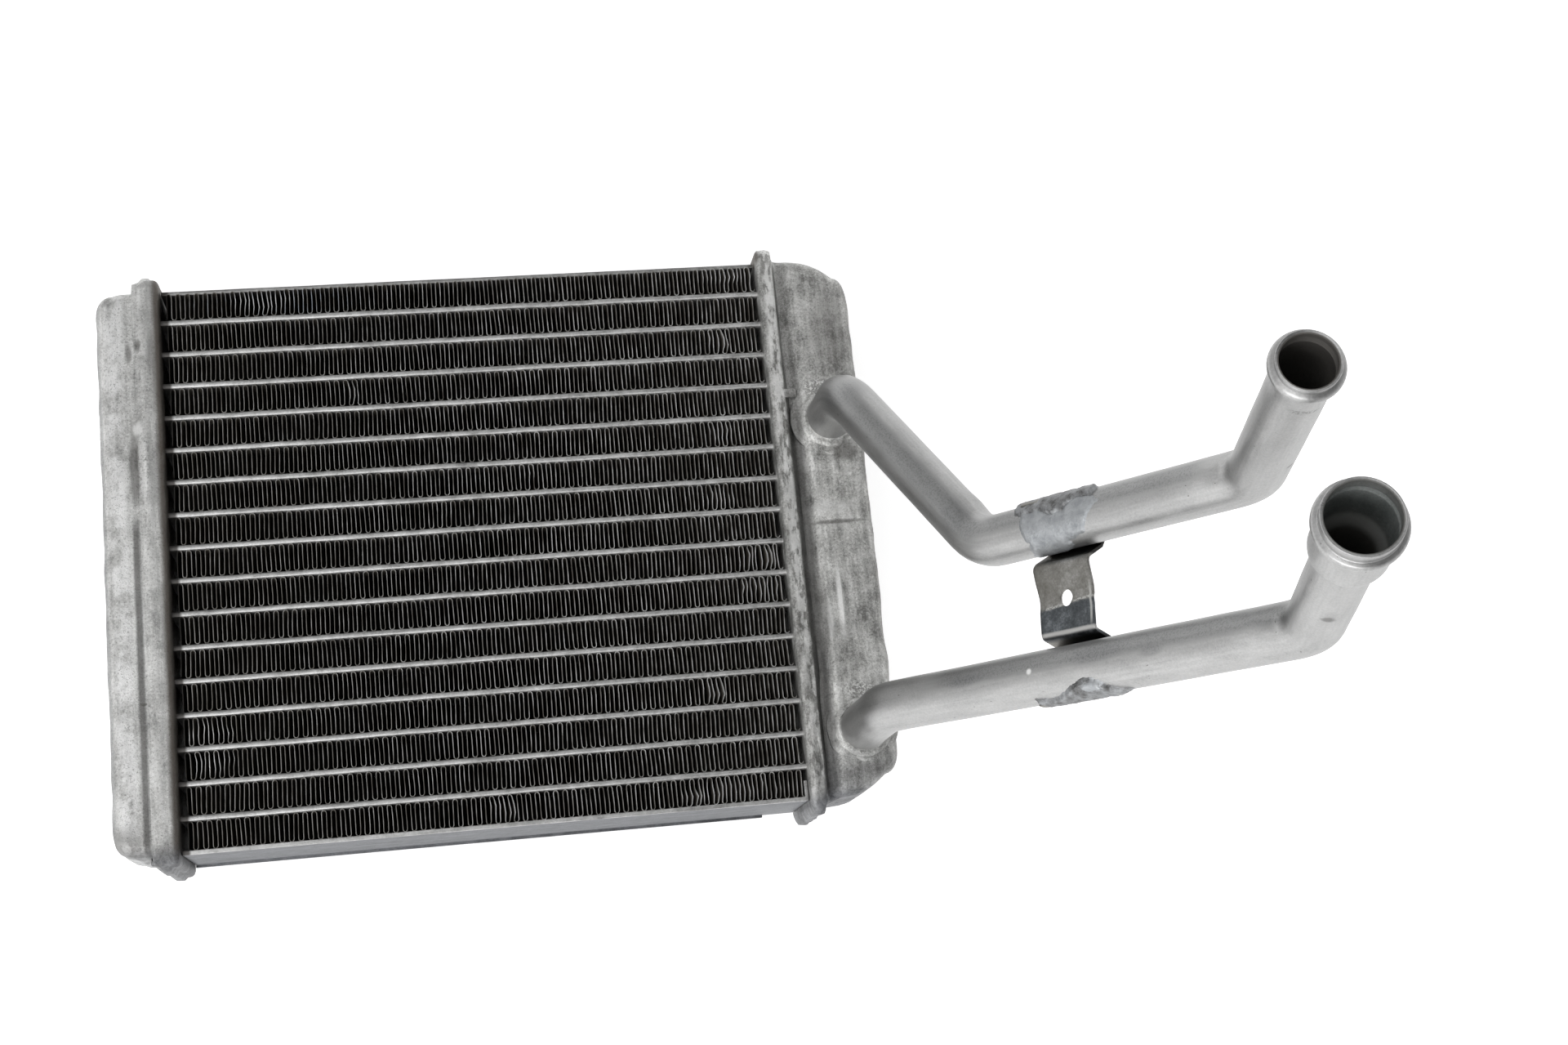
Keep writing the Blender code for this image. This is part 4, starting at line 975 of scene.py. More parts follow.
def make_right_tank():
    tank = make_shell("right_tank_shell", tank_sections(**RIGHT_TANK), TANK_CORNER,
                      right_of_core, TRAY_WALL + SEAT_GAP, TANK_HALF_DEPTH, spacing=1.8)
    for vert in tank.data.vertices:
        beyond = vert.co.x - CORE_WIDTH - RIGHT_RIM
        if 0 < beyond < 12:
            narrow = 0.35 * smooth((vert.co.y - 115.0) / 45.0)
            narrow += 0.25 * smooth((45.0 - vert.co.y) / 14)
            vert.co.x -= 4.0 * narrow * smooth(beyond / 4) * smooth((12 - beyond) / 5)
        if vert.co.z > TANK_FRONT - 5:
            fillet = abs(beyond - rim_wander(vert.co.y) - 0.2) / 2.4
            vert.co.z += 1.5 * smooth(1 - fillet)
    roughen(tank, height=0.5, grain=8.0, seed=5.0,
            where=lambda co: limited((co.x - CORE_WIDTH - 7.0) / 4))
    dent_front(tank, right_of_core, TANK_FRONT, RIGHT_TANK_DENTS)
    wall(tank, TANK_WALL)
    return tank


def bore_tank(tank):
    """Round hole in the tank's front for each pipe."""
    for height in (UPPER_PORT_HEIGHT, LOWER_PORT_HEIGHT):
        drill(tank, PIPE_SIDES, PIPE_RADIUS + SEAT_GAP, 14, (PORT_X, height, TANK_FRONT))


def make_collar(name, height, outer, root, lift):
    """Raised boss round a pipe's root, with thin rings of braze on it and up the pipe."""
    profile = [(outer + 1.5, -1.6), (outer + 1.5, -0.6), (outer + 0.9, -0.3),
               (outer + 0.3, 0.05), (outer - 0.4, 0.2), (outer - 1.0, 0.25), (outer - 1.8, 0.5),
               (root + 1.3, lift - 0.8), (root + 0.8, lift - 0.4), (root + 0.3, lift - 0.15),
               (root - 0.4, lift), (PIPE_RADIUS + 0.3, lift + 0.5),
               (PIPE_RADIUS + 0.02, lift + 1.0), (PIPE_RADIUS + 0.02, -1.6)]
    radius, level = profile[0]
    bpy.ops.mesh.primitive_circle_add(vertices=COLLAR_SIDES, radius=radius,
                                      location=(PORT_X, height, TANK_FRONT + level))
    collar = fresh(name)
    start_edit(collar, everything=True)
    for next_radius, next_level in profile[1:]:
        scale = next_radius / radius
        draw_on((0, 0, next_level - level), (scale, scale, 1), (PORT_X, height, 0))
        radius, level = next_radius, next_level
    pick(collar, 'EDGE', lambda edge: edge.is_boundary)
    bpy.ops.mesh.bridge_edge_loops()
    stop_edit()
    face_outwards(collar)
    roughen(collar, height=0.50, grain=4.2, seed=height,
            where=lambda co: math.hypot(co.x - PORT_X, co.y - height) >= PIPE_RADIUS + 0.1)
    return collar


# Core


def make_flat_tube():
    """One tube at the bottom of the core, to be copied up it."""
    radius = TUBE_THICKNESS / 2
    bpy.ops.mesh.primitive_circle_add(vertices=16, radius=radius, rotation=(0, math.pi / 2, 0),
                                      location=(-TUBE_END_REACH, 0, -radius))
    tube = fresh("flat_tube")
    start_edit(tube)
    pick(tube, 'VERT', lambda vert: vert.co.z < -radius - 0.01)
    bpy.ops.transform.translate(value=(0, 0, 2 * radius - CORE_DEPTH), orient_type='GLOBAL')
    bpy.ops.mesh.select_all(action='SELECT')
    draw_on((CORE_WIDTH + 2 * TUBE_END_REACH, 0, 0))
    stop_edit()
    score(tube, X, -TUBE_END_REACH, CORE_WIDTH + TUBE_END_REACH, 4.0)
    face_outwards(tube)
    return tube


def make_tubes(material):
    pattern = make_flat_tube()
    for index in range(TUBE_COUNT):
        tube = copy_of(pattern, "satin_tube_{:02d}".format(index + 1))
        height = FIN_GAP + TUBE_THICKNESS / 2 + index * TUBE_PITCH
        for vert in tube.data.vertices:
            sway = noise.noise(Vector((vert.co.x / 23.0, index * 3.7, 0.5)))
            dent = noise.noise(Vector((vert.co.x / 6.0, index * 5.1, 9.5)))
            nose = max(0.0, 1.0 + vert.co.z / 2.0)
            vert.co.z += nose * 0.16 * dent
            vert.co.y += height + nose * (0.12 * sway + 0.10 * dent)
        wall(tube, TUBE_WALL)
        settle(tube, material, "tube_aluminium", "flat_tube_{:02d}".format(index + 1))
    bpy.data.objects.remove(pattern, do_unlink=True)


# Depths at which the fin sheet turns from side to side, so that no gap runs straight through
FIN_TURNS = (-14.0, -24.0)

# Bent and scuffed patches of the core's face: centre x, y, half width, half height, strength
SCUFFS = ((194, 186, 12, 3.0, 1.0), (188, 161, 5, 2.5, 0.6), (186, 130, 5, 7, 0.7),
          (182, 101, 7, 7, 0.7), (196, 79, 9, 12, 0.9), (176, 38, 5, 3, 0.7),
          (177, 3, 18, 4, 0.7), (10, 33, 9, 10, 0.5), (103, 4, 6, 4, 0.7),
          (62, 150, 4, 3, 0.4), (120, 118, 5, 3, 0.35), (34, 184, 14, 4, 0.6))


def scuff_at(x, y):
    worst = 0.0
    for centre_x, centre_y, half_width, half_height, strength in SCUFFS:
        share = 1 - ((x - centre_x) / half_width) ** 2 - ((y - centre_y) / half_height) ** 2
        ragged = share + 0.9 * noise.noise(Vector((x / 2.4, y / 2.0, centre_x)))
        worst = max(worst, strength * limited(1.6 * ragged) if share > 0 else 0.0)
    return worst


def make_fold():
    """One fold of fin sheet: a wall, its crest, the next wall and the trough after it."""
    straight = FIN_GAP / 2 - 0.1 - FIN_CREST_RISE
    depth = CORE_DEPTH - 2 * FIN_SETBACK
    bpy.ops.mesh.primitive_plane_add(size=1, rotation=(0, math.pi / 2, 0),
                                     location=(0, 0, MIDDLE_Z))
    fold = fresh("fin_fold")
    start_edit(fold, everything=True)
    bpy.ops.transform.resize(value=(1, 2 * straight, depth), center_override=(0, 0, MIDDLE_Z),
                             orient_type='GLOBAL')
    for side in (1, -1):
        pick(fold, 'EDGE', lambda edge: edge.is_boundary
             and all(vert.co.x > fold_end(fold) - 0.01 for vert in edge.verts)
             and all(abs(vert.co.y - side * straight) < 0.01 for vert in edge.verts))
        share = FIN_WALL_PITCH / 3
        draw_on((share * 0.8, side * FIN_CREST_RISE, 0))
        draw_on((share * 1.4, 0, 0))
        draw_on((share * 0.8, -side * FIN_CREST_RISE, 0))
        if side > 0:
            for _ in range(3):
                draw_on((0, -2 * straight / 3, 0))
    for height in (straight / 3, -straight / 3):
        cut_across(Y, height)
    for level in (-FIN_SETBACK - 1.3, -FIN_SETBACK - 4.5, *FIN_TURNS):
        cut_across(Z, level)
    stop_edit()
    for vert in fold.data.vertices:
        for turn, level in enumerate(FIN_TURNS):
            if abs(vert.co.z - level) < 0.01:
                vert.co.x += FIN_SKEW if turn % 2 == 0 else -FIN_SKEW
    return fold


def fold_end(fold):
    return max(vert.co.x for vert in bmesh.from_edit_mesh(fold.data).verts)


def bend_fins(fin, row, height):
    """Sets the walls unevenly, bends their front edges and folds them over in the scuffs."""
    marks = []
    for vert in fin.data.vertices:
        x, y, z = vert.co
        near_front = max(0.0, 1.0 - max(0.0, -FIN_SETBACK - z) / 3.2)
        seat = noise.noise(Vector((x / 2.1, row * 4.3, 2.0)))
        drift = noise.noise(Vector((x / 17.0, row * 2.9, y / 9.0)))
        lean = noise.noise(Vector((x / 5.5, row * 7.1, 6.0))) * y / FIN_GAP
        belly = 1.0 - (2 * y / FIN_GAP) ** 2
        scuff = scuff_at(x, y + height)
        vert.co.x += 0.20 * seat + 0.25 * drift + 0.35 * lean
        sway = 0.10 + 1.6 * scuff
        fold = noise.noise(Vector((x / 4.0, row, y / 7.0)))
        vert.co.x += near_front * belly * sway * (0.4 + fold)
        vert.co.z -= near_front * belly * 0.5 * scuff
        marks.append(scuff * near_front * max(0.25, belly))
        vert.co.y += height
    store(fin, "bent", marks)


def make_fins(material):
    fold = make_fold()
    length = CORE_WIDTH - 2 * FIN_END_CLEARANCE
    count = math.floor(length / (2 * FIN_WALL_PITCH))
    modify(fold, 'ARRAY', count=count, use_relative_offset=False, use_constant_offset=True,
           constant_offset_displace=(2 * FIN_WALL_PITCH, 0, 0), use_merge_vertices=True,
           merge_threshold=0.01)
    start = CORE_WIDTH - SEAT_GAP - 0.4 - count * 2 * FIN_WALL_PITCH
    for vert in fold.data.vertices:
        vert.co.x += start
    for index in range(TUBE_COUNT + 1):
        fin = copy_of(fold, "corrugated_fin_{:02d}".format(index + 1))
        bend_fins(fin, index, FIN_GAP / 2 + index * TUBE_PITCH)
        wall(fin, FIN_SHEET, 0.0)
        settle(fin, material, "fin_aluminium", "fin_row_{:02d}".format(index + 1))
    bpy.data.objects.remove(fold, do_unlink=True)


def make_side_plate(name, low, high):
    """Plain strip between two corners."""
    size = Vector(high) - Vector(low)
    middle = (Vector(high) + Vector(low)) / 2
    bpy.ops.mesh.primitive_cube_add(size=1, location=middle, scale=size)
    return fresh(name)


def make_top_plate():
    plate = make_side_plate("top_plate", (SEAT_GAP, CORE_HEIGHT, -CORE_DEPTH),
                            (CORE_WIDTH - SEAT_GAP, CORE_HEIGHT + PLATE_THICKNESS,
                             -TOP_PLATE_SETBACK))
    score(plate, X, SEAT_GAP, CORE_WIDTH - SEAT_GAP, 5.0)
    soften_edges(plate, 0.25)
    wave_plate(plate, seed=2.0)
    return plate


def wave_plate(plate, seed):
    """Slight unevenness of a thin plate's front edge."""
    for vert in plate.data.vertices:
        sway = noise.noise(Vector((vert.co.x / 19.0, seed, 0.0)))
        vert.co.z += 0.25 * sway * limited(1.0 + vert.co.z / 8.0)


def make_bottom_plate():
    low_x = SEAT_GAP
    high_x = CORE_WIDTH - SEAT_GAP
    plate = make_side_plate("bottom_plate", (low_x, -PLATE_THICKNESS, -CORE_DEPTH),
                            (high_x, 0, 0))
    start_edit(plate)
    cut_across(X, high_x - END_TAB_THICKNESS)
    cut_across(X, high_x - BACK_LIP_END_CLEARANCE)
    cut_across(Z, BACK_LIP_THICKNESS - CORE_DEPTH)
    pick(plate, 'FACE', lambda face: face.normal.y > 0.9
         and face.calc_center_median().x > high_x - END_TAB_THICKNESS)
    draw_on((0, END_TAB_HEIGHT, 0))
    pick(plate, 'FACE', lambda face: face.normal.y < -0.9
         and face.calc_center_median().x < high_x - BACK_LIP_END_CLEARANCE
         and face.calc_center_median().z < BACK_LIP_THICKNESS - CORE_DEPTH)
    draw_on((0, -BACK_LIP_HEIGHT, 0))
    stop_edit()
    score(plate, X, low_x, high_x - BACK_LIP_END_CLEARANCE, 5.0)
    soften_edges(plate, 0.22)
    wave_plate(plate, seed=8.0)
    return plate


# Pipes


def upper_route():
    root = Vector((PORT_X, UPPER_PORT_HEIGHT, 0))
    elbow = root + Vector((0, 0, UPPER_RISER))
    knee = elbow + DOG_LEG_LENGTH * DOG_LEG
    bend = knee + UPPER_RUN_LENGTH * RUN
    return [root, elbow, knee, bend, bend + UPPER_NIPPLE_LENGTH * UPPER_NIPPLE]


def lower_route():
    root = Vector((PORT_X, LOWER_PORT_HEIGHT, 0))
    elbow = root + Vector((0, 0, LOWER_RISER))
    bend = elbow + LOWER_RUN_LENGTH * RUN
    return [root, elbow, bend, bend + LOWER_NIPPLE_LENGTH * LOWER_NIPPLE]


def bead_rings(start, middle, count, base, peak):
    """Rings of (distance, radius) over a rolled bead that is round about its middle."""
    rings = []
    for step in range(count):
        distance = start + BEAD_STEP * step
        share = min(1.0, abs(distance - middle) / (BEAD_WIDTH / 2))
        rings.append((distance, base + (peak - base) * math.sqrt(1 - share * share)))
    return rings


def upper_mouth():
    """Length and rings of the upper nipple's beaded end."""
    base = UPPER_LIP_RADIUS
    bead = bead_rings(3.0, 6.0, 18, base, UPPER_BEAD_RADIUS)
    return 9.4, [(0.8, base), *bead, (9.1, base), (9.4, base - LIP_ROUNDING)]


def lower_mouth():
    """Length and rings of the lower nipple's wide cup."""
    base = CUP_RADIUS
    rings = [(6.0 * share, PIPE_RADIUS + (base - PIPE_RADIUS) * smooth(share))
             for share in (0.2, 0.35, 0.5, 0.65, 0.8, 1.0)]
    rings += [(9.0, base), (12.0, base), (15.0, base), (17.6, base)]
    rings += bead_rings(19.0, 20.8, 11, base, LOWER_BEAD_RADIUS)
    return 26.0, rings + [(23.2, base - 0.1), (25.6, base), (26.0, base - LIP_ROUNDING)]


def draw_pipe(name, route, mouth):
    """Pipe drawn from its root: legs by extruding, bends by spinning, then its end form."""
    length, rings = mouth
    axis = (route[-1] - route[-2]).normalized()
    corners = list(route)
    corners[0] = corners[0] + Vector((0, 0, TANK_FRONT - PIPE_INSERTION))
    corners[-1] = corners[-1] - axis * length
    bpy.ops.mesh.primitive_circle_add(vertices=PIPE_SIDES, radius=PIPE_RADIUS,
                                      location=corners[0])
    pipe = fresh(name)
    start_edit(pipe, everything=True)
    here = corners[0]
    path = [here.copy()]
    for corner, after in zip(corners[1:], corners[2:] + [None]):
        incoming = (corner - here).normalized()
        if after is None:
            stop = corner
        else:
            outgoing = (after - corner).normalized()
            turn = incoming.angle(outgoing)
            stop = corner - incoming * BEND_RADIUS * math.tan(turn / 2)
        count = max(1, round((stop - here).length / PIPE_STEP))
        for step in range(count):
            draw_on((stop - here) / count)
            path.append(here + (stop - here) * (step + 1) / count)
        here = stop
        if after is not None:
            axle = incoming.cross(outgoing).normalized()
            centre = here + axle.cross(incoming) * BEND_RADIUS
            steps = max(3, round(turn / BEND_STEP))
            bpy.ops.mesh.spin(steps=steps, dupli=False, angle=turn, center=centre, axis=-axle)
            for step in range(1, steps + 1):
                spun = Matrix.Rotation(turn * step / steps, 3, axle)
                path.append(centre + spun @ (here - centre))
            here = path[-1]
    radius = PIPE_RADIUS
    reached = 0.0
    for distance, next_radius in rings:
        scale = next_radius / radius
        here = here + axis * (distance - reached)
        draw_on(axis * (distance - reached), (scale, scale, scale), here)
        radius = next_radius
        reached = distance
    path.append(here.copy())
    stop_edit()
    return pipe, path


def path_frames(path):
    """Length so far, place, direction and two cross directions at each point of a path."""
    frames = []
    side = Vector((1, 0, 0))
    length = 0.0
    for index, point in enumerate(path):
        before = path[max(0, index - 1)]
        after = path[min(len(path) - 1, index + 1)]
        along = (after - before).normalized()
        side = (side - along * side.dot(along)).normalized()
        length += (point - before).length
        frames.append((length, point, along, side, along.cross(side)))
    return frames


def mark_drawing_direction(pipe, path):
    """Stores on each point its place round and along the pipe, for streaks that follow it."""
    frames = path_frames(path)
    values = []
    for vert in pipe.data.vertices:
        nearest = min(frames, key=lambda item: (vert.co - item[1]).length_squared)
        length, point, along, side, other = nearest
        offset = vert.co - point
        values += [offset.dot(side), offset.dot(other), length + offset.dot(along)]
    store(pipe, "drawn", values, 'FLOAT_VECTOR', "vector")


def finish_pipe(pipe, path, seed):
    roughen(pipe, height=0.10, grain=14.0, seed=seed)
    mark_drawing_direction(pipe, path)
    outside = len(pipe.data.vertices)
    modify(pipe, 'SOLIDIFY', thickness=PIPE_WALL, offset=-1.0, use_even_offset=True)
    store(pipe, "bore", [0.0] * outside + [1.0] * (len(pipe.data.vertices) - outside))
    soften_edges(pipe, 0.22, angle=60)


def make_upper_pipe():
    route = upper_route()
    pipe, path = draw_pipe("upper_hose_pipe", route, upper_mouth())
    face_outwards(pipe)
    inner_side(pipe, route, 3, amount=1.4)
    inner_side(pipe, route, 2, amount=0.6)
    finish_pipe(pipe, path, seed=2.2)
    return pipe


def make_lower_pipe():
    route = lower_route()
    pipe, path = draw_pipe("lower_hose_pipe", route, lower_mouth())
    face_outwards(pipe)
    inner_side(pipe, route, 2, amount=1.3)
    dent = route[3] - LOWER_NIPPLE * 52.0 + Vector((-1.5, -7.2, 2.5))
    press(pipe, dent, (3.6, 3.6, 3.6), (0.2, 0.9, -0.1))
    finish_pipe(pipe, path, seed=6.4)
    return pipe


def inner_side(pipe, route, index, amount):
    """Slight heap of metal on the inner side of a tight bend."""
    corner = route[index]
    incoming = (route[index - 1] - corner).normalized()
    outgoing = (route[index + 1] - corner).normalized()
    inward = (incoming + outgoing).normalized()
    place = corner + inward * PIPE_RADIUS * 1.15 + incoming * 9.0
    press(pipe, place, (7, 7, 7), inward * amount)


def strap_axes():
    """Foot of the frame between the two runs, directions across and outward, and spacing."""
    knee = upper_route()[2]
    elbow = lower_route()[1]
    between = knee - elbow
    across = between - RUN * between.dot(RUN)
    spacing = across.length
    across.normalize()
    return knee - across * spacing, across, RUN.cross(across), spacing


# Strap: it wraps both runs from behind and folds forwards into a web between them
STRAP_THICKNESS = 1.0
STRAP_WIDTH = 20.4
STRAP_STATION = 31.7
STRAP_HOLE_RADIUS = 2.5
STRAP_FOLD_ROUNDING = 1.3
STRAP_WEB_HOLLOW = 1.0
STRAP_CREASE_DROP = 1.9
STRAP_CUTS = 13
WRAP_STEPS = 22
FOLD_STEPS = 5
WEB_STEPS = 12
WEB_TOP_OFFSET = 1.2
WEB_BOTTOM_OFFSET = -0.6
UPPER_WRAP_END = math.radians(45)
LOWER_WRAP_END = math.radians(75)
SHELF_BACK_ANGLE = math.radians(235)
STRAP_FOLD_SHARE = 0.13
UPPER_SHELF_SHARE = 0.032
LOWER_SHELF_SHARE = 0.128


def wrap_rows(web_offset, shelf_share, end, gap):
    """Rows of (height, outward offset) from a pipe's middle, from the strap's end to its web."""
    radius = PIPE_RADIUS + STRAP_THICKNESS / 2
    back = radius + shelf_share * gap
    lift_off = SHELF_BACK_ANGLE - math.acos(radius / back)
    rows = []
    for step in range(WRAP_STEPS + 1):
        angle = end + (lift_off - end) * step / WRAP_STEPS
        rows.append((radius * math.sin(angle), radius * math.cos(angle)))
    shelf = Vector((back * math.sin(SHELF_BACK_ANGLE), back * math.cos(SHELF_BACK_ANGLE)))
    fold = Vector((-PIPE_RADIUS - STRAP_FOLD_SHARE * gap, web_offset))
    on_shelf = fold + (shelf - fold).normalized() * STRAP_FOLD_ROUNDING
    on_web = fold + Vector((-STRAP_FOLD_ROUNDING, 0.0))
    rows += [tuple(shelf.lerp(on_shelf, share)) for share in (0.0, 0.35, 0.7)]
    for step in range(FOLD_STEPS + 1):
        share = step / FOLD_STEPS
        rows.append(tuple(on_shelf.lerp(fold, share).lerp(fold.lerp(on_web, share), share)))
    return rows


def strap_rows(spacing):
    """The strap from its upper end, behind both runs and over its web, to its lower end."""
    gap = spacing - 2 * PIPE_RADIUS
    upper = wrap_rows(WEB_TOP_OFFSET, UPPER_SHELF_SHARE, UPPER_WRAP_END, gap)
    lower = wrap_rows(WEB_BOTTOM_OFFSET, LOWER_SHELF_SHARE, LOWER_WRAP_END, gap)
    top = [(spacing + height, offset) for height, offset in upper]
    bottom = [(-height, offset) for height, offset in reversed(lower)]
    first, last = Vector(top[-1]), Vector(bottom[0])
    web = []
    for step in range(1, WEB_STEPS):
        share = step / WEB_STEPS
        place = first.lerp(last, share)
        web.append((place.x, place.y - STRAP_WEB_HOLLOW * math.sin(math.pi * share)))
    return top + web + bottom


def make_strap():
    """Folded strap between the runs, drawn from an edge row by row, with one screw hole."""
    origin, across, outward, spacing = strap_axes()
    rows = [origin + across * height + outward * offset + RUN * STRAP_STATION
            for height, offset in strap_rows(spacing)]
    bpy.ops.mesh.primitive_plane_add(size=2)
    strap = fresh("folded_strap")
    start_edit(strap)
    pick(strap, 'FACE', lambda face: True)
    bpy.ops.mesh.delete(type='ONLY_FACE')
    pick(strap, 'VERT', lambda vert: vert.co.y < 0)
    bpy.ops.mesh.delete(type='VERT')
    bpy.ops.mesh.select_all(action='SELECT')
    bpy.ops.mesh.subdivide(number_cuts=STRAP_CUTS)
    stop_edit()
    for vert in strap.data.vertices:
        vert.co = rows[0] + RUN * vert.co.x * STRAP_WIDTH / 2
    start_edit(strap, everything=True)
    for row, following in zip(rows, rows[1:]):
        draw_on(following - row)
    stop_edit()
    face_outwards(strap)
    middle = origin + across * spacing / 2 + RUN * STRAP_STATION
    for vert in strap.data.vertices:
        height = (vert.co - origin).dot(across)
        station = (vert.co - middle).dot(RUN)
        crease = spacing / 2 - STRAP_CREASE_DROP + 0.06 * station
        ridge = max(0.0, 1 - abs(height - crease) / 1.6)
        corner = smooth((height - spacing * 0.5) / 8) * smooth(-station / 9)
        vert.co += outward * (0.45 * ridge * ridge + 0.5 * corner)
        if 12 < height < spacing - 12:
            vert.co += RUN * 0.45 * noise.noise(Vector((height / 6.0, station / 20.0, 3.3)))
    roughen(strap, height=0.16, grain=6.0, seed=4.0)
    modify(strap, 'SOLIDIFY', thickness=STRAP_THICKNESS, offset=0.0, use_even_offset=True)
    turn = Matrix((RUN, across, outward)).transposed().to_euler()
    drill(strap, 32, STRAP_HOLE_RADIUS, 8, middle, turn)
    soften_edges(strap, 0.18, angle=60)
    return strap


# Filler metal on the runs, as outlines of (station along the run, degrees round it). The degrees
# start at the pipe's upper side, with 90 at its front and 180 at its underside.
LIGHT_SMEAR = ((23, 60), (22, 90), (22.5, 114), (24, 135), (22, 165), (20.5, 192), (26, 197),
               (32, 196), (35, 180), (37, 165), (38, 150), (41, 138), (45, 133), (46, 118),
               (47.5, 105), (49, 90), (52, 78), (50, 64), (47, 57), (43, 50), (40.5, 62),
               (38.5, 77), (33.5, 79), (29, 62))
DARK_RIDGE = ((19, 54), (22.5, 66), (29, 66), (33.5, 82), (38.5, 80), (41, 64), (44, 54),
              (48.5, 58), (49.5, 36), (46, 8), (42, -20), (30, -24), (22, -10), (18.5, 25))
UNDER_SMEAR = ((22, 150), (27, 160), (32, 153), (34.5, 142), (37, 132), (41.5, 125), (44.5, 121),
               (47, 133), (49.5, 150), (56, 176), (51, 190), (43, 200), (30, 206), (23, 196))
UNDER_LENS = ((40.5, 134), (43, 127), (45.5, 128), (48, 141), (47.5, 153), (43.5, 151), (41, 144))
FILLER_GRID = 0.4
FILLER_MARGIN = 1.5
FILLER_SHEET = 0.25


def inside_by(outline, u, v):
    """How far a point lies inside a closed outline; below 0 outside it."""
    nearest = math.inf
    crossings = 0
    for (u1, v1), (u2, v2) in zip(outline, outline[1:] + outline[:1]):
        side = Vector((u2 - u1, v2 - v1))
        offset = Vector((u - u1, v - v1))
        share = limited(offset.dot(side) / side.length_squared)
        nearest = min(nearest, (offset - side * share).length)
        if (v1 > v) != (v2 > v) and u < u1 + (v - v1) / (v2 - v1) * (u2 - u1):
            crossings += 1
    return nearest if crossings % 2 else -nearest


def make_filler(name, start, outline, height, lumps, seed):
    """Frozen smear of filler on a run of pipe; its ragged edges sink under the pipe's surface."""
    across, outward = strap_axes()[1:3]
    edge = [(station, math.radians(turn) * PIPE_RADIUS) for station, turn in outline]
    low = [min(point[axis] for point in edge) - FILLER_MARGIN for axis in (0, 1)]
    high = [max(point[axis] for point in edge) + FILLER_MARGIN for axis in (0, 1)]
    bpy.ops.mesh.primitive_grid_add(x_subdivisions=round((high[0] - low[0]) / FILLER_GRID),
                                    y_subdivisions=round((high[1] - low[1]) / FILLER_GRID),
                                    size=2)
    skin = fresh(name)
    for vert in skin.data.vertices:
        u = low[0] + (high[0] - low[0]) * (vert.co.x + 1) / 2
        v = low[1] + (high[1] - low[1]) * (vert.co.y + 1) / 2
        ragged = noise.noise(Vector((u / 2.6, v / 2.6, seed)))
        fine = noise.noise(Vector((u / 0.9, v / 0.9, seed + 4)))
        depth = inside_by(edge, u, v) + 0.7 * ragged + 0.35 * fine
        level = height * smooth(depth / 1.3 + 0.3)
        level += lumps * (0.6 * ragged + 0.4 * fine) * smooth(depth)
        if depth < -0.3:
            level = max(-0.4, 0.5 * (depth + 0.3))
        angle = v / PIPE_RADIUS
        facing = across * math.cos(angle) + outward * math.sin(angle)
        vert.co = start + RUN * u + facing * (PIPE_RADIUS + level)
    face_outwards(skin)
    wall(skin, FILLER_SHEET)
    return skin


# Light, floor and camera


def make_floor():
    bpy.ops.mesh.primitive_plane_add(size=FLOOR_SIZE)
    floor = fresh("floor")
    material = bpy.data.materials.new("pale_floor")
    material.use_nodes = True
    tree = material.node_tree
    shader = tree.nodes["Principled BSDF"]
    wire(shader, Base_Color=colour(0.8), Roughness=0.9)
    seen = background_rays(tree)
    wire(shader, Emission_Color=seen.over(0.0, 0.75), Emission_Strength=1.0)
    floor.data.materials.append(material)


def background_rays(tree):
    """1 for the rays that show the background: seen directly, mirrored or through glass."""
    source = Signal(tree, None)
    return sum(source.node("ShaderNodeLightPath", {}, {}, output="Is {} Ray".format(kind))
               for kind in ("Camera", "Glossy", "Transmission")).limit()


def make_world():
    world = bpy.data.worlds.new("studio")
    bpy.context.scene.world = world
    world.use_nodes = True
    tree = world.node_tree
    background = tree.nodes["Background"]
    direction = Signal(tree, tree.nodes.new("ShaderNodeTexCoord").outputs["Generated"])
    tone = direction.part("Z").ramp(BACKDROP_TONES)
    tree.links.new(tone.socket, background.inputs["Color"])
    seen = background_rays(tree)
    strength = BACKDROP_SHARE + (1 - BACKDROP_SHARE) * seen
    tree.links.new(strength.socket, background.inputs["Strength"])


def add_softbox(name, place, aim, size, power):
    data = bpy.data.lights.new(name, 'AREA')
    data.shape = 'RECTANGLE'
    data.size, data.size_y = size
    data.energy = power
    lamp = bpy.data.objects.new(name, data)
    bpy.context.scene.collection.objects.link(lamp)
    lamp.location = place
    lamp.rotation_euler = (Vector(aim) - Vector(place)).to_track_quat('-Z', 'Y').to_euler()


def make_lights():
    add_softbox("key_softbox", (0.9, 1.1, 0.9), (0, 0, 0.1), (0.9, 0.9), power=5)
    add_softbox("fill_softbox", (-0.6, -1.1, 0.8), (0, 0, 0.1), (1.3, 0.8), power=13)
    add_softbox("top_softbox", (-0.60, 0.05, 1.5), (-0.05, 0, 0), (1.3, 1.2), power=8)


def make_camera():
    data = bpy.data.cameras.new("camera")
    data.lens = CAMERA_LENS
    camera = bpy.data.objects.new("camera", data)
    bpy.context.scene.collection.objects.link(camera)
    camera.location = CORE_ORIGIN + Vector(CAMERA_PLACE) * MM
    camera.rotation_euler = [math.radians(angle) for angle in CAMERA_TURN]
    bpy.context.scene.camera = camera


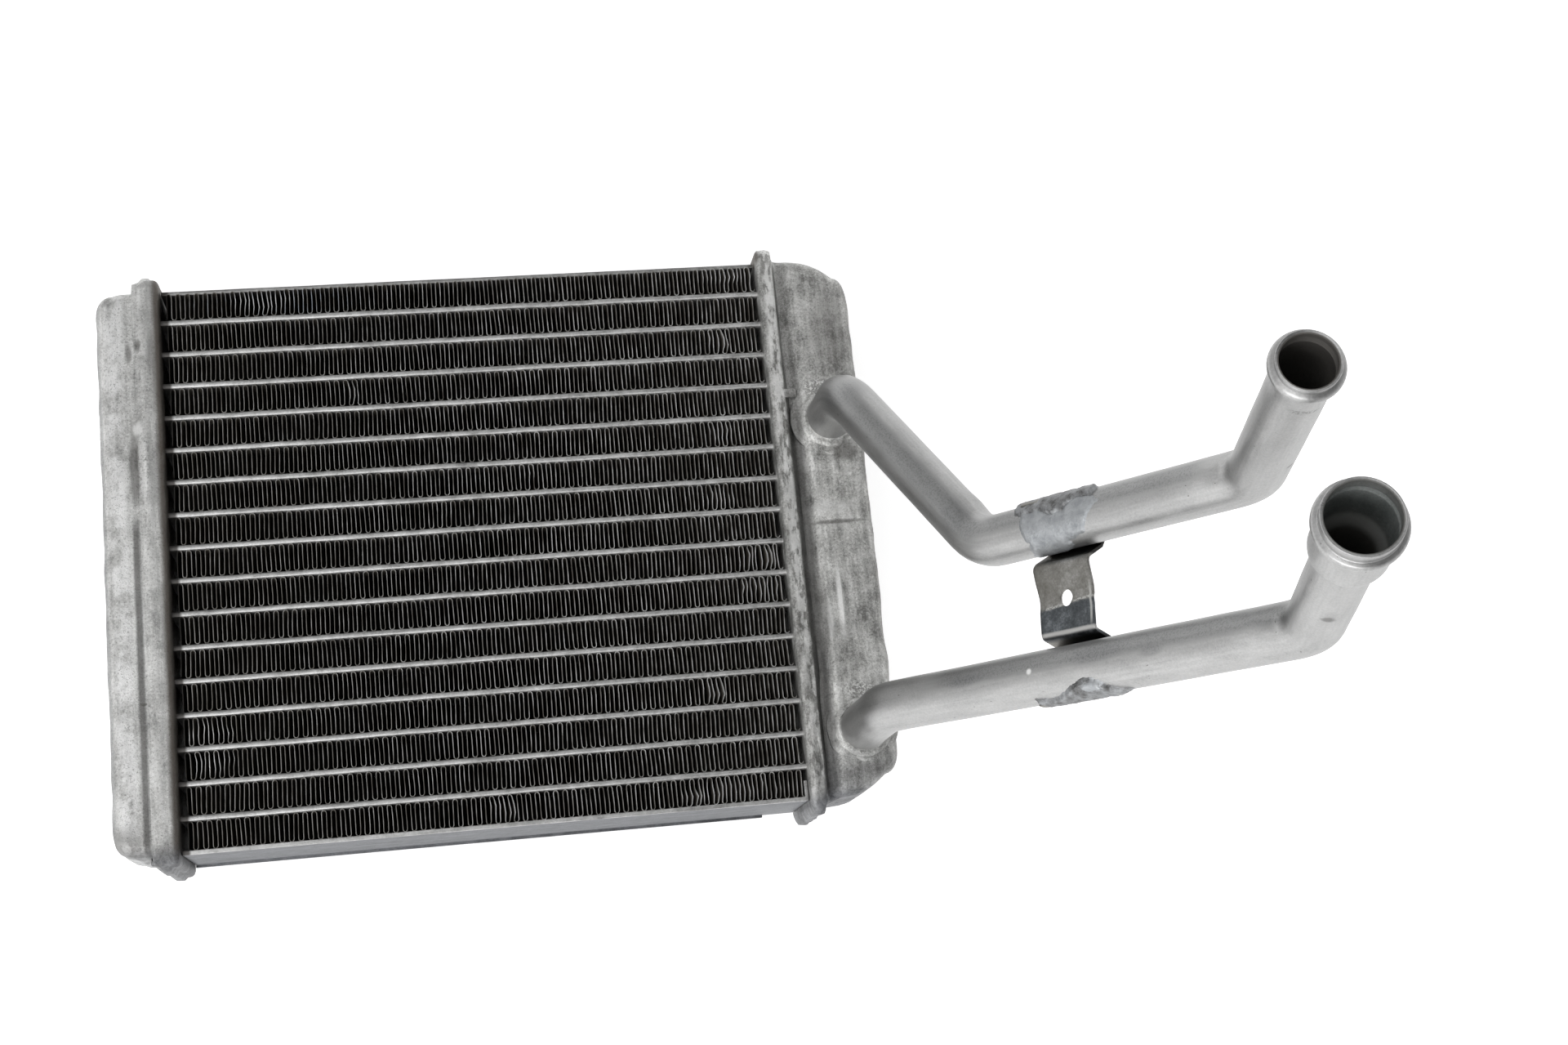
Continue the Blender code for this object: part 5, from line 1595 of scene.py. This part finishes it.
def main():
    tank_sheet = tank_finish()
    smear_braze = braze_finish("pale_filler", (0.30, 0.315, 0.33), (0.46, 0.475, 0.49))
    ridge_braze = braze_finish("dark_filler", (0.09, 0.088, 0.086), (0.36, 0.37, 0.38))
    pipe_skin = pipe_finish()

    settle(make_left_tray(), tank_sheet, "tank_aluminium", "left_header_plate")
    settle(make_right_tray(), tank_sheet, "tank_aluminium", "right_header_plate")
    settle(make_clinch_tab(), tank_sheet, "tank_aluminium")
    settle(make_left_tank(), tank_sheet, "tank_aluminium", "left_tank")
    right_tank = make_right_tank()
    bore_tank(right_tank)
    settle(right_tank, tank_sheet, "tank_aluminium", "right_tank")
    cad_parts["tank_baffle"].data.materials.clear()
    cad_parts["tank_baffle"].data.materials.append(tank_sheet)
    settle(make_collar("upper_port_collar", UPPER_PORT_HEIGHT, outer=12.0, root=9.0, lift=1.7),
           tank_sheet, "tank_aluminium")
    settle(make_collar("lower_port_collar", LOWER_PORT_HEIGHT, outer=10.8, root=8.7, lift=2.0),
           tank_sheet, "tank_aluminium")

    make_tubes(tube_finish())
    make_fins(fin_finish())
    plate_sheet = bpy.data.materials["flat_tube_sheet"]
    settle(make_top_plate(), plate_sheet, "tube_aluminium", "top_side_plate")
    settle(make_bottom_plate(), plate_sheet, "tube_aluminium", "bottom_side_plate")

    settle(make_upper_pipe(), pipe_skin, "pipe_aluminium", "upper_pipe")
    settle(make_lower_pipe(), pipe_skin, "pipe_aluminium", "lower_pipe")
    settle(make_strap(), strap_finish(), "bracket_aluminium", "pipe_bracket")
    origin, across, outward, spacing = strap_axes()
    upper_start = origin + across * spacing
    for name, start, finish, outline, height, lumps, seed in (
            ("light_filler_smear", upper_start, smear_braze, LIGHT_SMEAR, 0.34, 0.12, 1.0),
            ("dark_filler_ridge", upper_start, ridge_braze, DARK_RIDGE, 1.15, 0.35, 5.0),
            ("under_filler_smear", origin, ridge_braze, UNDER_SMEAR, 1.1, 0.30, 9.0),
            ("under_filler_lens", origin, smear_braze, UNDER_LENS, 1.3, 0.05, 13.0)):
        settle(make_filler(name, start, outline, height, lumps, seed), finish,
               "bracket_aluminium")

    make_floor()
    make_world()
    make_lights()
    make_camera()
    bpy.context.scene.view_settings.view_transform = 'Standard'


main()
